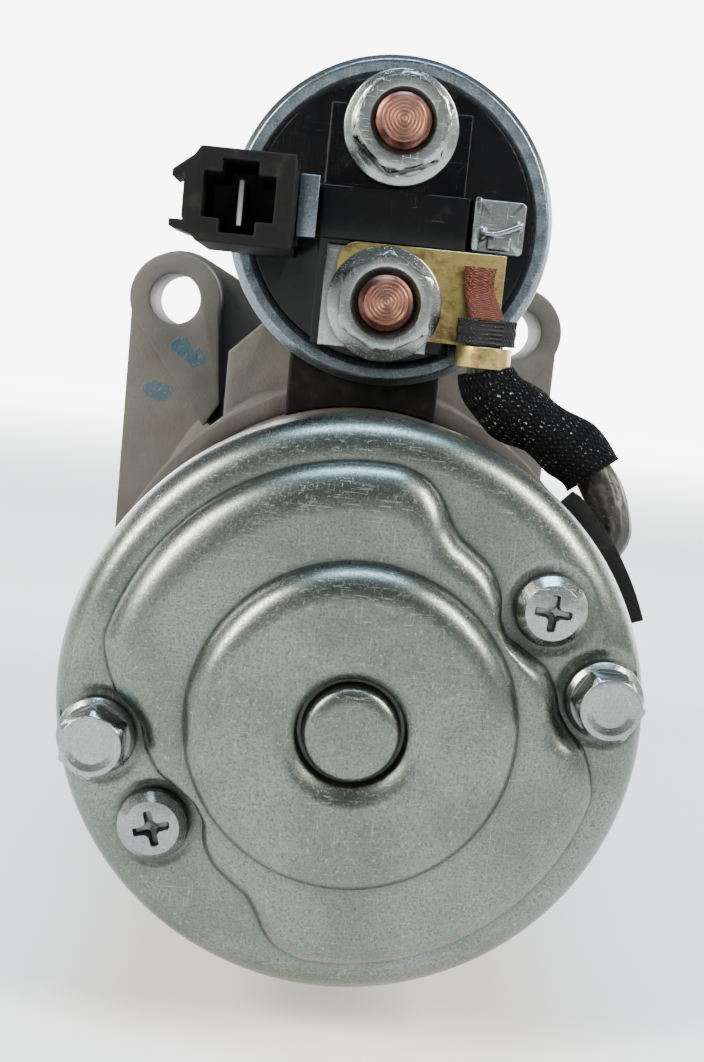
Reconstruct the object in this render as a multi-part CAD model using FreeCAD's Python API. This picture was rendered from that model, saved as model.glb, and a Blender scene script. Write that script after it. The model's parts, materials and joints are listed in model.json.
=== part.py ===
import FreeCAD, Part
import math
import os

from FreeCAD import Vector

os.makedirs("parts", exist_ok=True)

# Gear-reduction starter motor, millimetres.
# Origin: centre of the pilot on the mounting face. +Y forward to the pinion nose,
# +Z from the motor axis up to the solenoid, +X to the right seen from behind.

# ---------------------------------------------------------------- driving dimensions
# stations along the motor axis
COVER_FLANGE_Y = -138.0     # rear face of the end cover's flange
COVER_SKIRT = 11.0          # length of the end cover's skirt
BRACKET_REAR_Y = -87.0      # rear rim of the front bracket
BRACKET_LAP = 8.0           # how far the yoke enters the bracket
PILOT_LENGTH = 6.0
PLATE_THICKNESS = 9.0
EAR_THICKNESS = 20.0
NOSE_TIP = 15.0             # solid end of the nose in front of its window

# sheet, walls and main radii
SHEET = 1.2                 # end cover sheet
COVER_CORNER = 5.0          # outside radius of the cover's rim
YOKE_RADIUS = 38.0
YOKE_WALL = 2.0
BRACKET_WALL = 3.15
BRACKET_FILLET = 3.0
PILOT_RADIUS = 38.0
CAVITY_RADIUS = 24.5        # bore around the clutch
NOSE_BORE = 16.5
NOSE_WALL = 4.0
NOSE_FLARE = 3.5            # extra radius at the foot of the nose
NOSE_TAPER = 4.5            # radius lost at the tip of the nose
NOSE_CHAMFER = 3.0
WINDOW_TOP = -9.0           # upper edge of the nose's window
RIB = 4.0                   # width of the webs under the plate
RIB_REACH = 3.6             # how far a web stands out at the plate

# lever housing
HOUSING_WIDE = 26.5         # half width at the pivot
HOUSING_SLIM = 17.5         # half width around the plunger
HOUSING_FRONT_Y = -16.0
HOUSING_WALL = 4.0
HOUSING_RISE = 7.0          # wide part above the pivot
HOLLOW_SLIM = 11.0          # half width of the hollow above the pivot
HOLLOW_HEAD = 13.0          # radius of the hollow round the hook

# raised shapes of the end cover
PLATEAU_HEIGHT = 4.5
PLATEAU_MARGIN = 4.2        # flat left outside the plateau's lobes
WAIST_SCALE = 33.8          # lobe radius that the waist points are given for
WAIST = [(32.2, -3.7), (28.6, 0.9), (26.8, 5.0), (24.0, 9.6), (19.4, 12.5), (17.9, 16.8),
         (16.4, 21.5), (12.0, 25.0), (9.4, 29.2), (6.8, 32.3)]
DOME_BASE_RADIUS = 21.5
DOME_TOP_RADIUS = 17.0
DOME_HEIGHT = 9.0
GROOVE_RADIUS = 9.8
GROOVE_DEPTH = 3.0
BUTTON_RADIUS = 7.0
BUTTON_HEIGHT = 9.0

# mounting ears
EAR_LEFT_X = -40.5
EAR_RIGHT_X = 31.5
EAR_Z = 53.3
EAR_RADIUS = 10.5
EAR_HOLE_RADIUS = 5.25
EAR_SHOULDER = 27.0         # slope of the plate's top edge beside each ear
EAR_STEP = 1.0              # plate seen round the thick boss
GUSSET = [(-8.0, -5.0), (9.0, 0.8), (11.0, -21.0), (8.0, -26.0)]   # from the ear's centre

# fasteners
BOLT_MARGIN = 4.8           # bolt circle inside the yoke's radius
BOLT_ANGLE = 9.5            # degrees from +X, seen from behind
BOLT_RADIUS = 2.5
BOLT_FLATS = 8.0
BOLT_HEAD = 4.0
BOLT_FLANGE_RADIUS = 5.2
BOLT_FLANGE = 1.4
BOLT_DEPTH = 16.0           # how far the bolts enter the bracket
SCREW_MARGIN = 8.4          # screw circle inside the yoke's radius
SCREW_ANGLE = 34.3
SCREW_RADIUS = 2.0
SCREW_HEAD_RADIUS = 4.8
SCREW_HEAD = 2.6
RECESS_ARM = 2.6            # half length of the cross recess
RECESS_SLOT = 0.55          # half width of the cross recess
RECESS_DEPTH = 1.7
CASE_SCREW_HEAD_RADIUS = 4.2
CASE_SCREW_HEAD = 3.2
CASE_SCREW_FLATS = 4.0      # hexagon socket
CASE_SCREW_SOCKET = 1.8     # depth of the socket

# running gear
MODULE = 1.25
SUN_TEETH = 12
PLANET_TEETH = 15
RING_TEETH = 42
PLANETS = 3
PRESSURE_ANGLE = 20.0
GEAR_BACKLASH = 0.14
GEAR_ADDENDUM = 0.8         # of the module, sun and planets
RING_ADDENDUM = 0.7
GEAR_DEDENDUM = 1.15
RING_GEAR_RADIUS = 30.2
RING_GEAR_LENGTH = 21.0
RING_TOOTH_LENGTH = 16.0
RING_KEY = 3.0              # half width of a key on the ring gear
RING_KEY_HEIGHT = 2.0
RING_KEY_LENGTH = 8.0
GEAR_WIDTH = 13.0
MOTOR_PLATE = 3.0
CENTRE_BRACKET = 4.0
PLANET_PIN_RADIUS = 3.5
CARRIER_RADIUS = 23.5
CARRIER_THICKNESS = 5.0

# drive
SHAFT_RADIUS = 6.0          # output shaft under the pinion
SPLINE_HEIGHT = 1.0
SPLINE_COUNT = 6
SPLINE_HALF = 1.4           # half width of a spline
BUSH_WALL = 2.0
CLUTCH_RADIUS = 22.0
CLUTCH_LENGTH = 20.0
CLUTCH_WALL = 3.0
ROLLER_RADIUS = 2.4
ROLLERS = 5
INNER_RACE_RADIUS = 12.5
COLLAR_RADIUS = 18.0
COLLAR_GROOVE_RADIUS = 12.5
COLLAR_GROOVE = 7.0
COLLAR_DISC = 3.0
COLLAR_WALL = 1.5           # collar under its groove
PINION_TEETH = 10
PINION_MODULE = 2.25
PINION_LENGTH = 15.0
PINION_REST_Y = 17.0        # front face of the pinion at rest
PINION_NECK_RADIUS = 10.0
PINION_DEDENDUM = 1.1
PINION_BACKLASH = 0.2
PINION_LEAD_IN = 6.0        # length of the cone on the teeth's front ends
STOP_RING = 2.6
STOP_RING_WALL = 3.0

# shift lever
LEVER_PIVOT_Y = -33.0
LEVER_PIVOT_DROP = 4.2      # pivot below the barrel's outside
LEVER_FOOT_Z = 3.0          # height of the shoes above the motor axis
LEVER_TILT = 9.0            # degrees each side of upright
LEVER_WIDTH = 7.0
LEVER_LEG = 2.8             # thickness of a fork leg
LEVER_FINGER = 2.5          # half width of the finger in the hook
LEVER_SHOULDER = 3.0        # widening of the finger's lower part, each side
LEVER_SHOULDER_HEIGHT = 14.0
LEVER_HUB_WALL = 2.4
LEVER_WEB = 2.4             # half thickness of the upper arm
PIVOT_PIN_RADIUS = 3.0
PIVOT_HEAD = 1.8            # head of the pivot pin beyond its radius
PIVOT_HEAD_LENGTH = 1.5

# solenoid
SOLENOID_RISE = 4.1         # gap between yoke and solenoid
SOLENOID_RADIUS = 24.4
SOLENOID_WALL = 2.0
SOLENOID_REAR_Y = -103.0
SOLENOID_FRONT_Y = -47.0
SOLENOID_SCREWS = 4.0       # screw circle inside the solenoid's radius
CASE_FRONT = 5.0            # thickness of the case's front plate
CASE_LIP = 1.4              # rolled edge over the cap
PLUNGER_RADIUS = 9.5
HOOK_HALF = 5.5             # half width of the plunger's hook
HOOK_SLOT = 2.9             # half width of the slot for the lever's finger
HOOK_BACK = 10.2            # solid hook behind the finger
HOOK_FRONT = 6.8
SPRING_POCKET = 6.0
SPRING_POCKET_DEPTH = 10.0
ROD_RADIUS = 1.5
CONTACT_RADIUS = 16.0
CONTACT_DISC = 2.0
CONTACT_GAP = 2.4
CORE_DISC = 6.0
BOBBIN_WALL = 1.2
BOBBIN_FLANGE = 1.4
CAP_MARGIN = 3.6            # cap inside the case's radius
CAP_SKIRT_WALL = 2.6
CAP_FLOOR = 4.0
ISLAND = 2.5                # raised terminal island
ISLAND_HALF = 10.3
ISLAND_LOW = -18.9          # from the solenoid's axis
ISLAND_HIGH = 15.9
BRIDGE_X = (-13.2, 11.0)    # raised bar between the two studs
BRIDGE_LOW = -3.5
BRIDGE_HIGH = 4.0
BRIDGE = 1.5
B_STUD_RISE = 13.1          # battery stud above the solenoid's axis
M_STUD_DROP = 12.3          # motor stud below it
STUD_RADIUS = 4.0
STUD_HEAD = 3.5
STUD_HEAD_X = 6.0
STUD_HEAD_Z = 5.0
STUD_PROUD = 1.6            # stud beyond the battery nut
M_STUD_PROUD = 1.3          # stud beyond the motor nut
NUT_FLATS = 13.0
NUT_HEIGHT = 6.0
NUT_FLANGE = 1.8
NUT_FLANGE_RADIUS = 8.4
WASHER = 1.4
WASHER_FLAT = 0.9

# motor terminal's sheet parts, from the solenoid's axis
LUG_THICKNESS = 1.0
LUG_X = (-7.4, 17.2)
LUG_LOW = -17.1
LUG_HIGH = -3.7
LUG_CORNER = 3.0
LEG_X = (12.6, 17.0)
LEG = 1.3
M_PLATE = 0.8
M_PLATE_X = (-9.2, 6.8)
M_PLATE_LOW = -19.1
M_PLATE_HIGH = -4.3
CRIMP_WALL = 1.2
CRIMP_LENGTH = 3.0
BRAID_TOP = -5.7            # welded end of the braid
BRAID_WELD = 3.8            # length of the weld
BRAID_THICKNESS = 1.9
BRAID_TOP_X = (11.2, 15.8)
BRAID_FOOT_X = (12.4, 17.6)
BRAID_LEAN = 2.6            # how far the braid leaves the tab at its foot
WRAP_X = (10.7, 19.1)       # wrapped collar round the braid's foot
WRAP_HEIGHT = 3.6
WRAP_WALL = 1.2
WRAP_CORNER = 1.0

# control terminal
SHROUD_X0 = -28.6
SHROUD_X1 = -13.9
SHROUD_LOW = -6.9           # from the solenoid's axis
SHROUD_HIGH = 5.5
SHROUD_Y = -126.0
SHROUD_CORNER_X = 2.0
SHROUD_CORNER_Z = 3.0
FOOT_X = -24.0
FLAP_LENGTH = 9.0
FLAP_REACH = 1.6
MOUTH_DEPTH = 16.0
MOUTH_TALL = (-23.6, -18.8, 1.4)    # x range and wall above and below
MOUTH_WIDE = (-26.0, -16.4, 3.2)
BLADE_X = (-21.6, -20.8)
BLADE_LOW = -4.25
BLADE_HEIGHT = 6.3
BLADE_SETBACK = 4.0
BLADE_ROOT = 3.0
CLIP_X = -10.9
CLIP_LOW = -4.1
CLIP_HIGH = 4.7
CLIP_FRONT = 4.4            # clip's plate behind the island's face
CLIP_THICKNESS = 1.2
TAB_X = (11.8, 18.6)        # ground tab
TAB_LOW = -3.3
TAB_HIGH = 4.5
TAB_SHEET = 0.7
TAB_WALL = 4.0
TAB_WIRE_RADIUS = 0.5
TAB_WIRE = 5.2

# armature
SHAFT_REAR_RADIUS = 4.0
SHAFT_BODY_STEP = 1.5
MAGNET_DEPTH = 11.3         # inside of the magnets below the yoke's radius
AIR_GAP = 0.9
MAGNET_SPAN = 72.0
COMMUTATOR_RADIUS = 15.0
COMMUTATOR_LENGTH = 13.0
COMMUTATOR_BARS = 21
SLIT_DEPTH = 0.8
SLIT_HALF = 0.25
ARMATURE_SLOTS = 21
SLOT_FLOOR = 14.0
SLOT_HALF = 1.2
WINDING_STEP = 1.6          # winding under the core's outside
WINDING_END = 4.0

# brushes
BRUSH_WIDTH = 7.0
BRUSH_LENGTH_Y = 6.0
BRUSH_RADIAL = 10.0
BRUSH_LIFT = 2.5
BRUSH_PLATE = 1.6
CAGE_WALL = 0.8
CAGE_LIFT = 2.0             # cage above the commutator
CAGE_SPRING = 2.4           # room for the pressed spring
BRUSH_SPRING_RADIUS = 1.9
BRUSH_SPRING_WIRE = 0.35
BRUSH_SPRING_TURNS = 4.0
SCREW_BOSS_WALL = 1.8

# motor lead
LEAD_RADIUS = 2.8
SLEEVE_RADIUS = 4.5
LEAD_ENTRY_ANGLE = 32.0
LEAD_ENTRY = 10.0           # in front of the cover's skirt
LEAD_X = 14.8
LEAD_Y = -113.0
LEAD_TURN = 4.7             # lead's centre line above the yoke where it turns in
# Corners between the crimp and the turn: x and z from the crimp's foot as shares of the way
# to the turn, and the share of the way along Y.
LEAD_CORNERS = [(0.0, 0.055, 0.0), (0.178, 0.210, 0.0), (0.427, 0.315, 0.05), (0.648, 0.420, 0.2),
                (0.822, 0.555, 0.45), (0.944, 0.745, 0.7)]
GROMMET_HEIGHT = 4.0
GROMMET_SEAT = 2.4
GROMMET_START = 20.0        # degrees
GROMMET_SPAN = 27.0
GROMMET_SEAT_SPAN = 16.0

# rubber block between motor and solenoid
BLOCK_X = (-13.5, 10.5)
BLOCK_LENGTH = 6.0
BLOCK_REACH = 8.0

# clearances
RUNNING = 0.06              # radial gap of a shaft in its bush
SEAT = 0.05                 # radial gap of a part seated in another
OPEN_GAP = 0.3              # gap between bodies that pass each other
BOLT_GAP = 0.3
SPLINE_GAP = 0.12
ROLLER_GAP = 0.08
HOLE_GAP = 0.2              # sheet parts round studs and screws
FORK_GAP = 0.6              # fork leg beside the collar
BOBBIN_GAP = 0.4
WIRE_GAP = 0.7              # spring ends short of their seats
BRUSH_WIRE_GAP = 0.55
OVER = 1.0                  # how far cutting tools and joined bars run past a face

# ---------------------------------------------------------------- derived stations
COVER_SKIRT_Y = COVER_FLANGE_Y + COVER_SKIRT
PLATEAU_Y = COVER_FLANGE_Y - PLATEAU_HEIGHT
DOME_Y = COVER_FLANGE_Y - DOME_HEIGHT
BUTTON_Y = COVER_FLANGE_Y - BUTTON_HEIGHT
COVER_RADIUS = YOKE_RADIUS + SEAT + SHEET
COVER_INSIDE_Y = COVER_FLANGE_Y + SHEET
LOBE_RADIUS = YOKE_RADIUS - PLATEAU_MARGIN
YOKE_REAR_Y = COVER_INSIDE_Y + COVER_CORNER - SHEET
BRACKET_RADIUS = YOKE_RADIUS + SEAT + BRACKET_WALL
BOLT_CIRCLE_RADIUS = YOKE_RADIUS - BOLT_MARGIN
SCREW_CIRCLE_RADIUS = YOKE_RADIUS - SCREW_MARGIN
YOKE_FRONT_Y = BRACKET_REAR_Y + BRACKET_LAP
GEAR_CASE_Y = YOKE_FRONT_Y + MOTOR_PLATE
RING_FRONT_Y = GEAR_CASE_Y + RING_GEAR_LENGTH
SHOULDER_Y = RING_FRONT_Y + CENTRE_BRACKET
PLANET_REAR_Y = GEAR_CASE_Y + 1.0
CARRIER_Y = PLANET_REAR_Y + GEAR_WIDTH + 0.5
CENTRE_DISTANCE = MODULE * (SUN_TEETH + PLANET_TEETH) / 2.0
PILOT_BORE = SHAFT_REAR_RADIUS + RUNNING
SPLINE_SHAFT_RADIUS = SHAFT_RADIUS + 1.5
JOURNAL_RADIUS = SHAFT_RADIUS + 2.5
CENTRE_BUSH_RADIUS = JOURNAL_RADIUS + BUSH_WALL
CAVITY_FRONT_Y = PILOT_LENGTH - 3.0

SOLENOID_Z = YOKE_RADIUS + SOLENOID_RISE + SOLENOID_RADIUS
B_STUD_Z = SOLENOID_Z + B_STUD_RISE
M_STUD_Z = SOLENOID_Z - M_STUD_DROP
CAP_RADIUS = SOLENOID_RADIUS - CAP_MARGIN
LEVER_PIVOT_Z = BRACKET_RADIUS - LEVER_PIVOT_DROP
LEVER_LOWER_ARM = LEVER_PIVOT_Z - LEVER_FOOT_Z
UPPER_ARM = SOLENOID_Z - LEVER_PIVOT_Z + 0.2
HALF_SWING = math.sin(math.radians(LEVER_TILT))
PLUNGER_STROKE = 2.0 * UPPER_ARM * HALF_SWING
DRIVE_TRAVEL = 2.0 * LEVER_LOWER_ARM * HALF_SWING
HOOK_Y = LEVER_PIVOT_Y + UPPER_ARM * HALF_SWING
COLLAR_Y = LEVER_PIVOT_Y - LEVER_LOWER_ARM * HALF_SWING
CLUTCH_REAR_Y = COLLAR_Y + COLLAR_GROOVE / 2.0 + COLLAR_DISC + 2.0
CLUTCH_FRONT_Y = CLUTCH_REAR_Y + CLUTCH_LENGTH
SPLINE_END_Y = CLUTCH_REAR_Y + CLUTCH_WALL - 0.5
STOP_Y = PINION_REST_Y + DRIVE_TRAVEL + OPEN_GAP
WINDOW_Y0 = PILOT_LENGTH + 1.5
WINDOW_Y1 = STOP_Y + STOP_RING + 0.4
NOSE_LENGTH = WINDOW_Y1 + NOSE_TIP

CAP_FACE_Y = SOLENOID_REAR_Y - 1.0
ISLAND_Y = CAP_FACE_Y - ISLAND
CAP_INSIDE_Y = CAP_FACE_Y + CAP_FLOOR
CONTACT_Y = CAP_INSIDE_Y + STUD_HEAD
CONTACT_TRAVEL = CONTACT_GAP - 0.1
CORE_REAR_Y = CONTACT_Y + CONTACT_GAP + CONTACT_DISC + 5.0
CORE_BOSS_Y = CORE_REAR_Y + CORE_DISC + 6.0
PLUNGER_REAR_Y = CORE_BOSS_Y + PLUNGER_STROKE + 0.2
PLUNGER_BODY_Y = HOOK_Y - HOOK_BACK
HOOK_FRONT_Y = HOOK_Y + HOOK_FRONT
NUT_FACE_Y = ISLAND_Y - NUT_FLANGE
LUG_Y = ISLAND_Y - M_PLATE              # front face of the lug
LUG_REAR_Y = LUG_Y - LUG_THICKNESS
M_NUT_FACE_Y = LUG_REAR_Y - WASHER
CRIMP_TOP_Z = SOLENOID_Z + LUG_LOW
CRIMP_FOOT_Z = CRIMP_TOP_Z - CRIMP_LENGTH
WRAP_FOOT_Z = CRIMP_TOP_Z + OPEN_GAP
WRAP_TOP_Z = WRAP_FOOT_Z + WRAP_HEIGHT
SHROUD_Z0 = SOLENOID_Z + SHROUD_LOW
SHROUD_Z1 = SOLENOID_Z + SHROUD_HIGH
BLADE_ROOT_Y = CAP_FACE_Y - BLADE_ROOT
BLADE_Z = SOLENOID_Z + BLADE_LOW
LEAD_ENTRY_Y = COVER_SKIRT_Y + LEAD_ENTRY
GROMMET_OUTER = YOKE_RADIUS + GROMMET_HEIGHT

MAGNET_INNER_RADIUS = YOKE_RADIUS - MAGNET_DEPTH
ARMATURE_RADIUS = MAGNET_INNER_RADIUS - AIR_GAP
SHAFT_BODY_RADIUS = SHAFT_REAR_RADIUS + SHAFT_BODY_STEP
MAGNET_REAR_Y = YOKE_REAR_Y + 21.0
MAGNET_FRONT_Y = YOKE_FRONT_Y - 3.0
CORE_REAR = MAGNET_REAR_Y + 2.0
CORE_FRONT = MAGNET_FRONT_Y - 4.0
COMMUTATOR_REAR_Y = YOKE_REAR_Y + 3.0
COMMUTATOR_FRONT_Y = COMMUTATOR_REAR_Y + COMMUTATOR_LENGTH
BRUSH_PLATE_Y = YOKE_REAR_Y + 0.5
BRUSH_TOUCH = COMMUTATOR_RADIUS + 0.1
BRUSH_Y = (COMMUTATOR_REAR_Y + COMMUTATOR_FRONT_Y) / 2.0 + 0.6
CAGE_INNER_R = COMMUTATOR_RADIUS + CAGE_LIFT
CAGE_OUTER_R = BRUSH_TOUCH + BRUSH_RADIAL + BRUSH_LIFT + CAGE_SPRING


# ---------------------------------------------------------------- helpers
def cylinder(radius, y0, y1, x=0.0, z=0.0):
    """Round bar along Y."""
    return Part.makeCylinder(radius, y1 - y0, Vector(x, y0, z), Vector(0, 1, 0))


def tube(outer, inner, y0, y1, x=0.0, z=0.0):
    """Round tube along Y."""
    return cylinder(outer, y0, y1, x, z).cut(cylinder(inner, y0, y1, x, z))


def block(x0, x1, y0, y1, z0, z1):
    """Box between two corners."""
    return Part.makeBox(x1 - x0, y1 - y0, z1 - z0, Vector(x0, y0, z0))


def clock(radius, degrees, y):
    """Point on a circle about the motor axis, degrees from +X towards +Z."""
    angle = math.radians(degrees)
    return Vector(radius * math.cos(angle), y, radius * math.sin(angle))


def turned(profile):
    """Solid of revolution about the motor axis from (radius, y) points."""
    points = [Vector(r, y, 0) for r, y in profile]
    face = Part.Face(Part.makePolygon(points + [points[0]]))
    return face.revolve(Vector(0, 0, 0), Vector(0, 1, 0), 360)


def prism(outline, y0, y1):
    """Flat outline of (x, z) corners, extruded along Y."""
    points = [Vector(x, y0, z) for x, z in outline]
    face = Part.Face(Part.makePolygon(points + [points[0]]))
    return face.extrude(Vector(0, y1 - y0, 0))


def hexagon(flats, y0, y1, x, z, turn):
    """Hexagonal bar along Y, turned by degrees."""
    corner = flats / math.sqrt(3.0)
    angles = [math.radians(turn + 60.0 * i) for i in range(6)]
    return prism([(x + corner * math.cos(a), z + corner * math.sin(a)) for a in angles], y0, y1)


def fuse(shapes):
    """One solid from touching shapes."""
    return shapes[0].multiFuse(shapes[1:]).removeSplitter()


def soften(shape, radius, keep):
    """Round the edges that keep() accepts."""
    edges = [edge for edge in shape.Edges if keep(edge)]
    return shape.makeFillet(radius, edges) if edges else shape


def circle_edge(edge, radius, y):
    """True for a full circle of this radius about a Y line at this station."""
    curve = edge.Curve
    if not isinstance(curve, Part.Circle) or abs(curve.Radius - radius) > 1e-3:
        return False
    return abs(edge.CenterOfMass.y - y) < 1e-3


def spin(shape, degrees, x=0.0, z=0.0):
    """Copy turned about a Y line by the right-hand rule."""
    copy = shape.copy()
    copy.rotate(Vector(x, 0, z), Vector(0, 1, 0), degrees)
    return copy


def around(shape, degrees):
    """Copy turned about the motor axis, degrees from +X towards +Z."""
    return spin(shape, -degrees)


def middle_angle(shape):
    """Direction of a sector's centre of mass, degrees from +X towards +Z."""
    centre = shape.Solids[0].CenterOfMass
    return math.degrees(math.atan2(centre.z, centre.x))


def write(node, shape):
    """Save one node as parts/NODE.step."""
    solids = shape.Solids
    assert solids and all(solid.isValid() for solid in solids), node
    out = solids[0] if len(solids) == 1 else Part.makeCompound(solids)
    out.exportStep("parts/" + node + ".step")
    print("%-22s solids %2d volume %10.1f" % (node, len(solids), sum(s.Volume for s in solids)))


def gear_point(radius, angle):
    """Point in the gear plane, angles by the right-hand rule about +Y."""
    return Vector(radius * math.cos(angle), 0.0, -radius * math.sin(angle))


def involute_angle(radius, base):
    """Polar angle of the involute of a base circle at a radius."""
    alpha = math.acos(min(1.0, base / radius))
    return math.tan(alpha) - alpha


def gear(teeth, module, tip, root, thinning, width, y0, phase):
    """Spur gear blank between root and tip radii with involute flanks.

    Each flank is an arc through three points of the involute, with a radial line
    below the base circle. A tooth centre stands at the phase angle. An internal
    ring's space is the same shape, so its teeth come from cutting this blank.
    """
    pitch = module * teeth / 2.0
    base = pitch * math.cos(math.radians(PRESSURE_ANGLE))
    half = math.pi / (2.0 * teeth) - thinning / (2.0 * pitch)
    at_pitch = involute_angle(pitch, base)
    low = max(base, root)
    middle = (low + tip) / 2.0

    def flank(radius):
        return half + at_pitch - involute_angle(radius, base)

    edges = []
    step = 2.0 * math.pi / teeth
    for i in range(teeth):
        centre = phase + i * step
        a0, a1, a2 = flank(low), flank(middle), flank(tip)
        start = gear_point(low, centre - a0)
        end = gear_point(low, centre + a0)
        rise_tip = gear_point(tip, centre - a2)
        fall_tip = gear_point(tip, centre + a2)
        if root < low - 1e-6:
            edges.append(Part.makeLine(gear_point(root, centre - a0), start))
        edges.append(Part.Arc(start, gear_point(middle, centre - a1), rise_tip).toShape())
        edges.append(Part.Arc(rise_tip, gear_point(tip, centre), fall_tip).toShape())
        edges.append(Part.Arc(fall_tip, gear_point(middle, centre + a1), end).toShape())
        foot = gear_point(root, centre + a0)
        if root < low - 1e-6:
            edges.append(Part.makeLine(end, foot))
        valley = gear_point(root, centre + step / 2.0)
        edges.append(Part.Arc(foot, valley, gear_point(root, centre + step - a0)).toShape())
    face = Part.Face(Part.Wire(edges))
    face.translate(Vector(0, y0, 0))
    return face.extrude(Vector(0, width, 0))


def path_wire(points):
    """Straight runs joined by tangent arcs: 0.45 of the shorter run at each corner."""
    edges = []
    here = points[0]
    for before, corner, after in zip(points, points[1:], points[2:]):
        inward = (before - corner).normalize()
        outward = (after - corner).normalize()
        reach = 0.45 * min((before - corner).Length, (after - corner).Length)
        start = corner + inward * reach
        end = corner + outward * reach
        half_turn = (math.pi - inward.getAngle(outward)) / 2.0
        radius = reach / math.tan(half_turn)
        bisector = (inward + outward).normalize()
        middle = corner + bisector * (radius / math.cos(half_turn) - radius)
        edges.append(Part.makeLine(here, start))
        edges.append(Part.Arc(start, middle, end).toShape())
        here = end
    edges.append(Part.makeLine(here, points[-1]))
    return Part.Wire(edges)


def round_sweep(points, radius):
    """Round bar along a path of runs and arcs."""
    wire = path_wire(points)
    direction = points[1] - points[0]
    profile = Part.Wire(Part.makeCircle(radius, points[0], direction))
    return wire.makePipeShell([profile], True, False)


def coil_spring(mean, wire_radius, length, turns, origin, axis):
    """Helical compression spring standing on origin along axis."""
    helix = Part.makeHelix(length / turns, length, mean)
    profile = Part.Wire(Part.makeCircle(wire_radius, Vector(mean, 0, 0), Vector(0, 1, 0)))
    spring = Part.Wire(helix).makePipeShell([profile], True, True)
    spring.Placement = FreeCAD.Placement(origin, FreeCAD.Rotation(Vector(0, 0, 1), axis))
    return spring


# ---------------------------------------------------------------- front bracket
def plate_outline():
    """Mounting plate: two ears, straight sides and a round bottom."""
    left = EAR_LEFT_X - EAR_RADIUS
    right = EAR_RIGHT_X + EAR_RADIUS
    centre = (left + right) / 2.0
    radius = (right - left) / 2.0
    slope = math.radians(EAR_SHOULDER)
    lean_x = EAR_RADIUS * math.sin(slope)
    lean_z = EAR_RADIUS * math.cos(slope)
    near = EAR_RADIUS * math.cos(math.radians(135.0))
    inner = centre + HOUSING_WIDE * 0.6
    fall = (EAR_RIGHT_X - lean_x - inner) * math.tan(slope)
    dip_z = EAR_Z + lean_z - fall
    a = Vector(left, 0, EAR_Z)
    b = Vector(EAR_LEFT_X + lean_x, 0, EAR_Z + lean_z)
    c = Vector(EAR_RIGHT_X - lean_x, 0, EAR_Z + lean_z)
    d = Vector(right, 0, EAR_Z)
    dip_left = Vector(2.0 * centre - inner, 0, dip_z)
    dip_right = Vector(inner, 0, dip_z)
    edges = [
        Part.Arc(a, Vector(EAR_LEFT_X + near, 0, EAR_Z - near), b).toShape(),
        Part.makeLine(b, dip_left),
        Part.makeLine(dip_left, dip_right),
        Part.makeLine(dip_right, c),
        Part.Arc(c, Vector(EAR_RIGHT_X - near, 0, EAR_Z - near), d).toShape(),
        Part.makeLine(d, Vector(right, 0, 0)),
        Part.Arc(Vector(right, 0, 0), Vector(centre, 0, -radius), Vector(left, 0, 0)).toShape(),
        Part.makeLine(Vector(left, 0, 0), a),
    ]
    return Part.Face(Part.Wire(edges))


def lever_housing(y0, y1, wide, slim, low, step):
    """Tower from the barrel up over the plunger, round at the top."""
    outline = [(-wide, low), (-wide, step), (-slim, step + wide - slim), (-slim, SOLENOID_Z),
               (slim, SOLENOID_Z), (slim, step + wide - slim), (wide, step), (wide, low)]
    return fuse([prism(outline, y0, y1), cylinder(slim, y0, y1, 0.0, SOLENOID_Z)])


def solenoid_screw_places():
    """Three places on a circle in the solenoid's front plate."""
    circle = SOLENOID_RADIUS - SOLENOID_SCREWS
    return [(circle * math.cos(math.radians(a)), SOLENOID_Z + circle * math.sin(math.radians(a)))
            for a in (90.0, 210.0, 330.0)]


def ear_boss(x, side):
    """Raised ear with its gusset running into the barrel."""
    rear = -EAR_THICKNESS
    boss = cylinder(EAR_RADIUS - EAR_STEP, rear, 0.0, x, EAR_Z)
    gusset = prism([(x + side * dx, EAR_Z + dz) for dx, dz in GUSSET], rear, 0.0)
    return [boss, gusset]


def bracket_ribs():
    """Tapered webs from the barrel to the rim of the plate's round bottom."""
    ribs = []
    inner = BRACKET_RADIUS - 2.0 * BRACKET_FILLET
    half = RIB / 2.0
    rear = -4.0 * PLATE_THICKNESS
    front = -PLATE_THICKNESS
    for angle in (205.0, 250.0, 290.0, 335.0):
        corners = [Vector(inner, rear, -half), Vector(BRACKET_RADIUS, rear, -half),
                   Vector(BRACKET_RADIUS + RIB_REACH, front, -half), Vector(inner, front, -half)]
        web = Part.Face(Part.makePolygon(corners + [corners[0]])).extrude(Vector(0, 0, RIB))
        ribs.append(around(web, angle))
    return ribs


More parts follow.
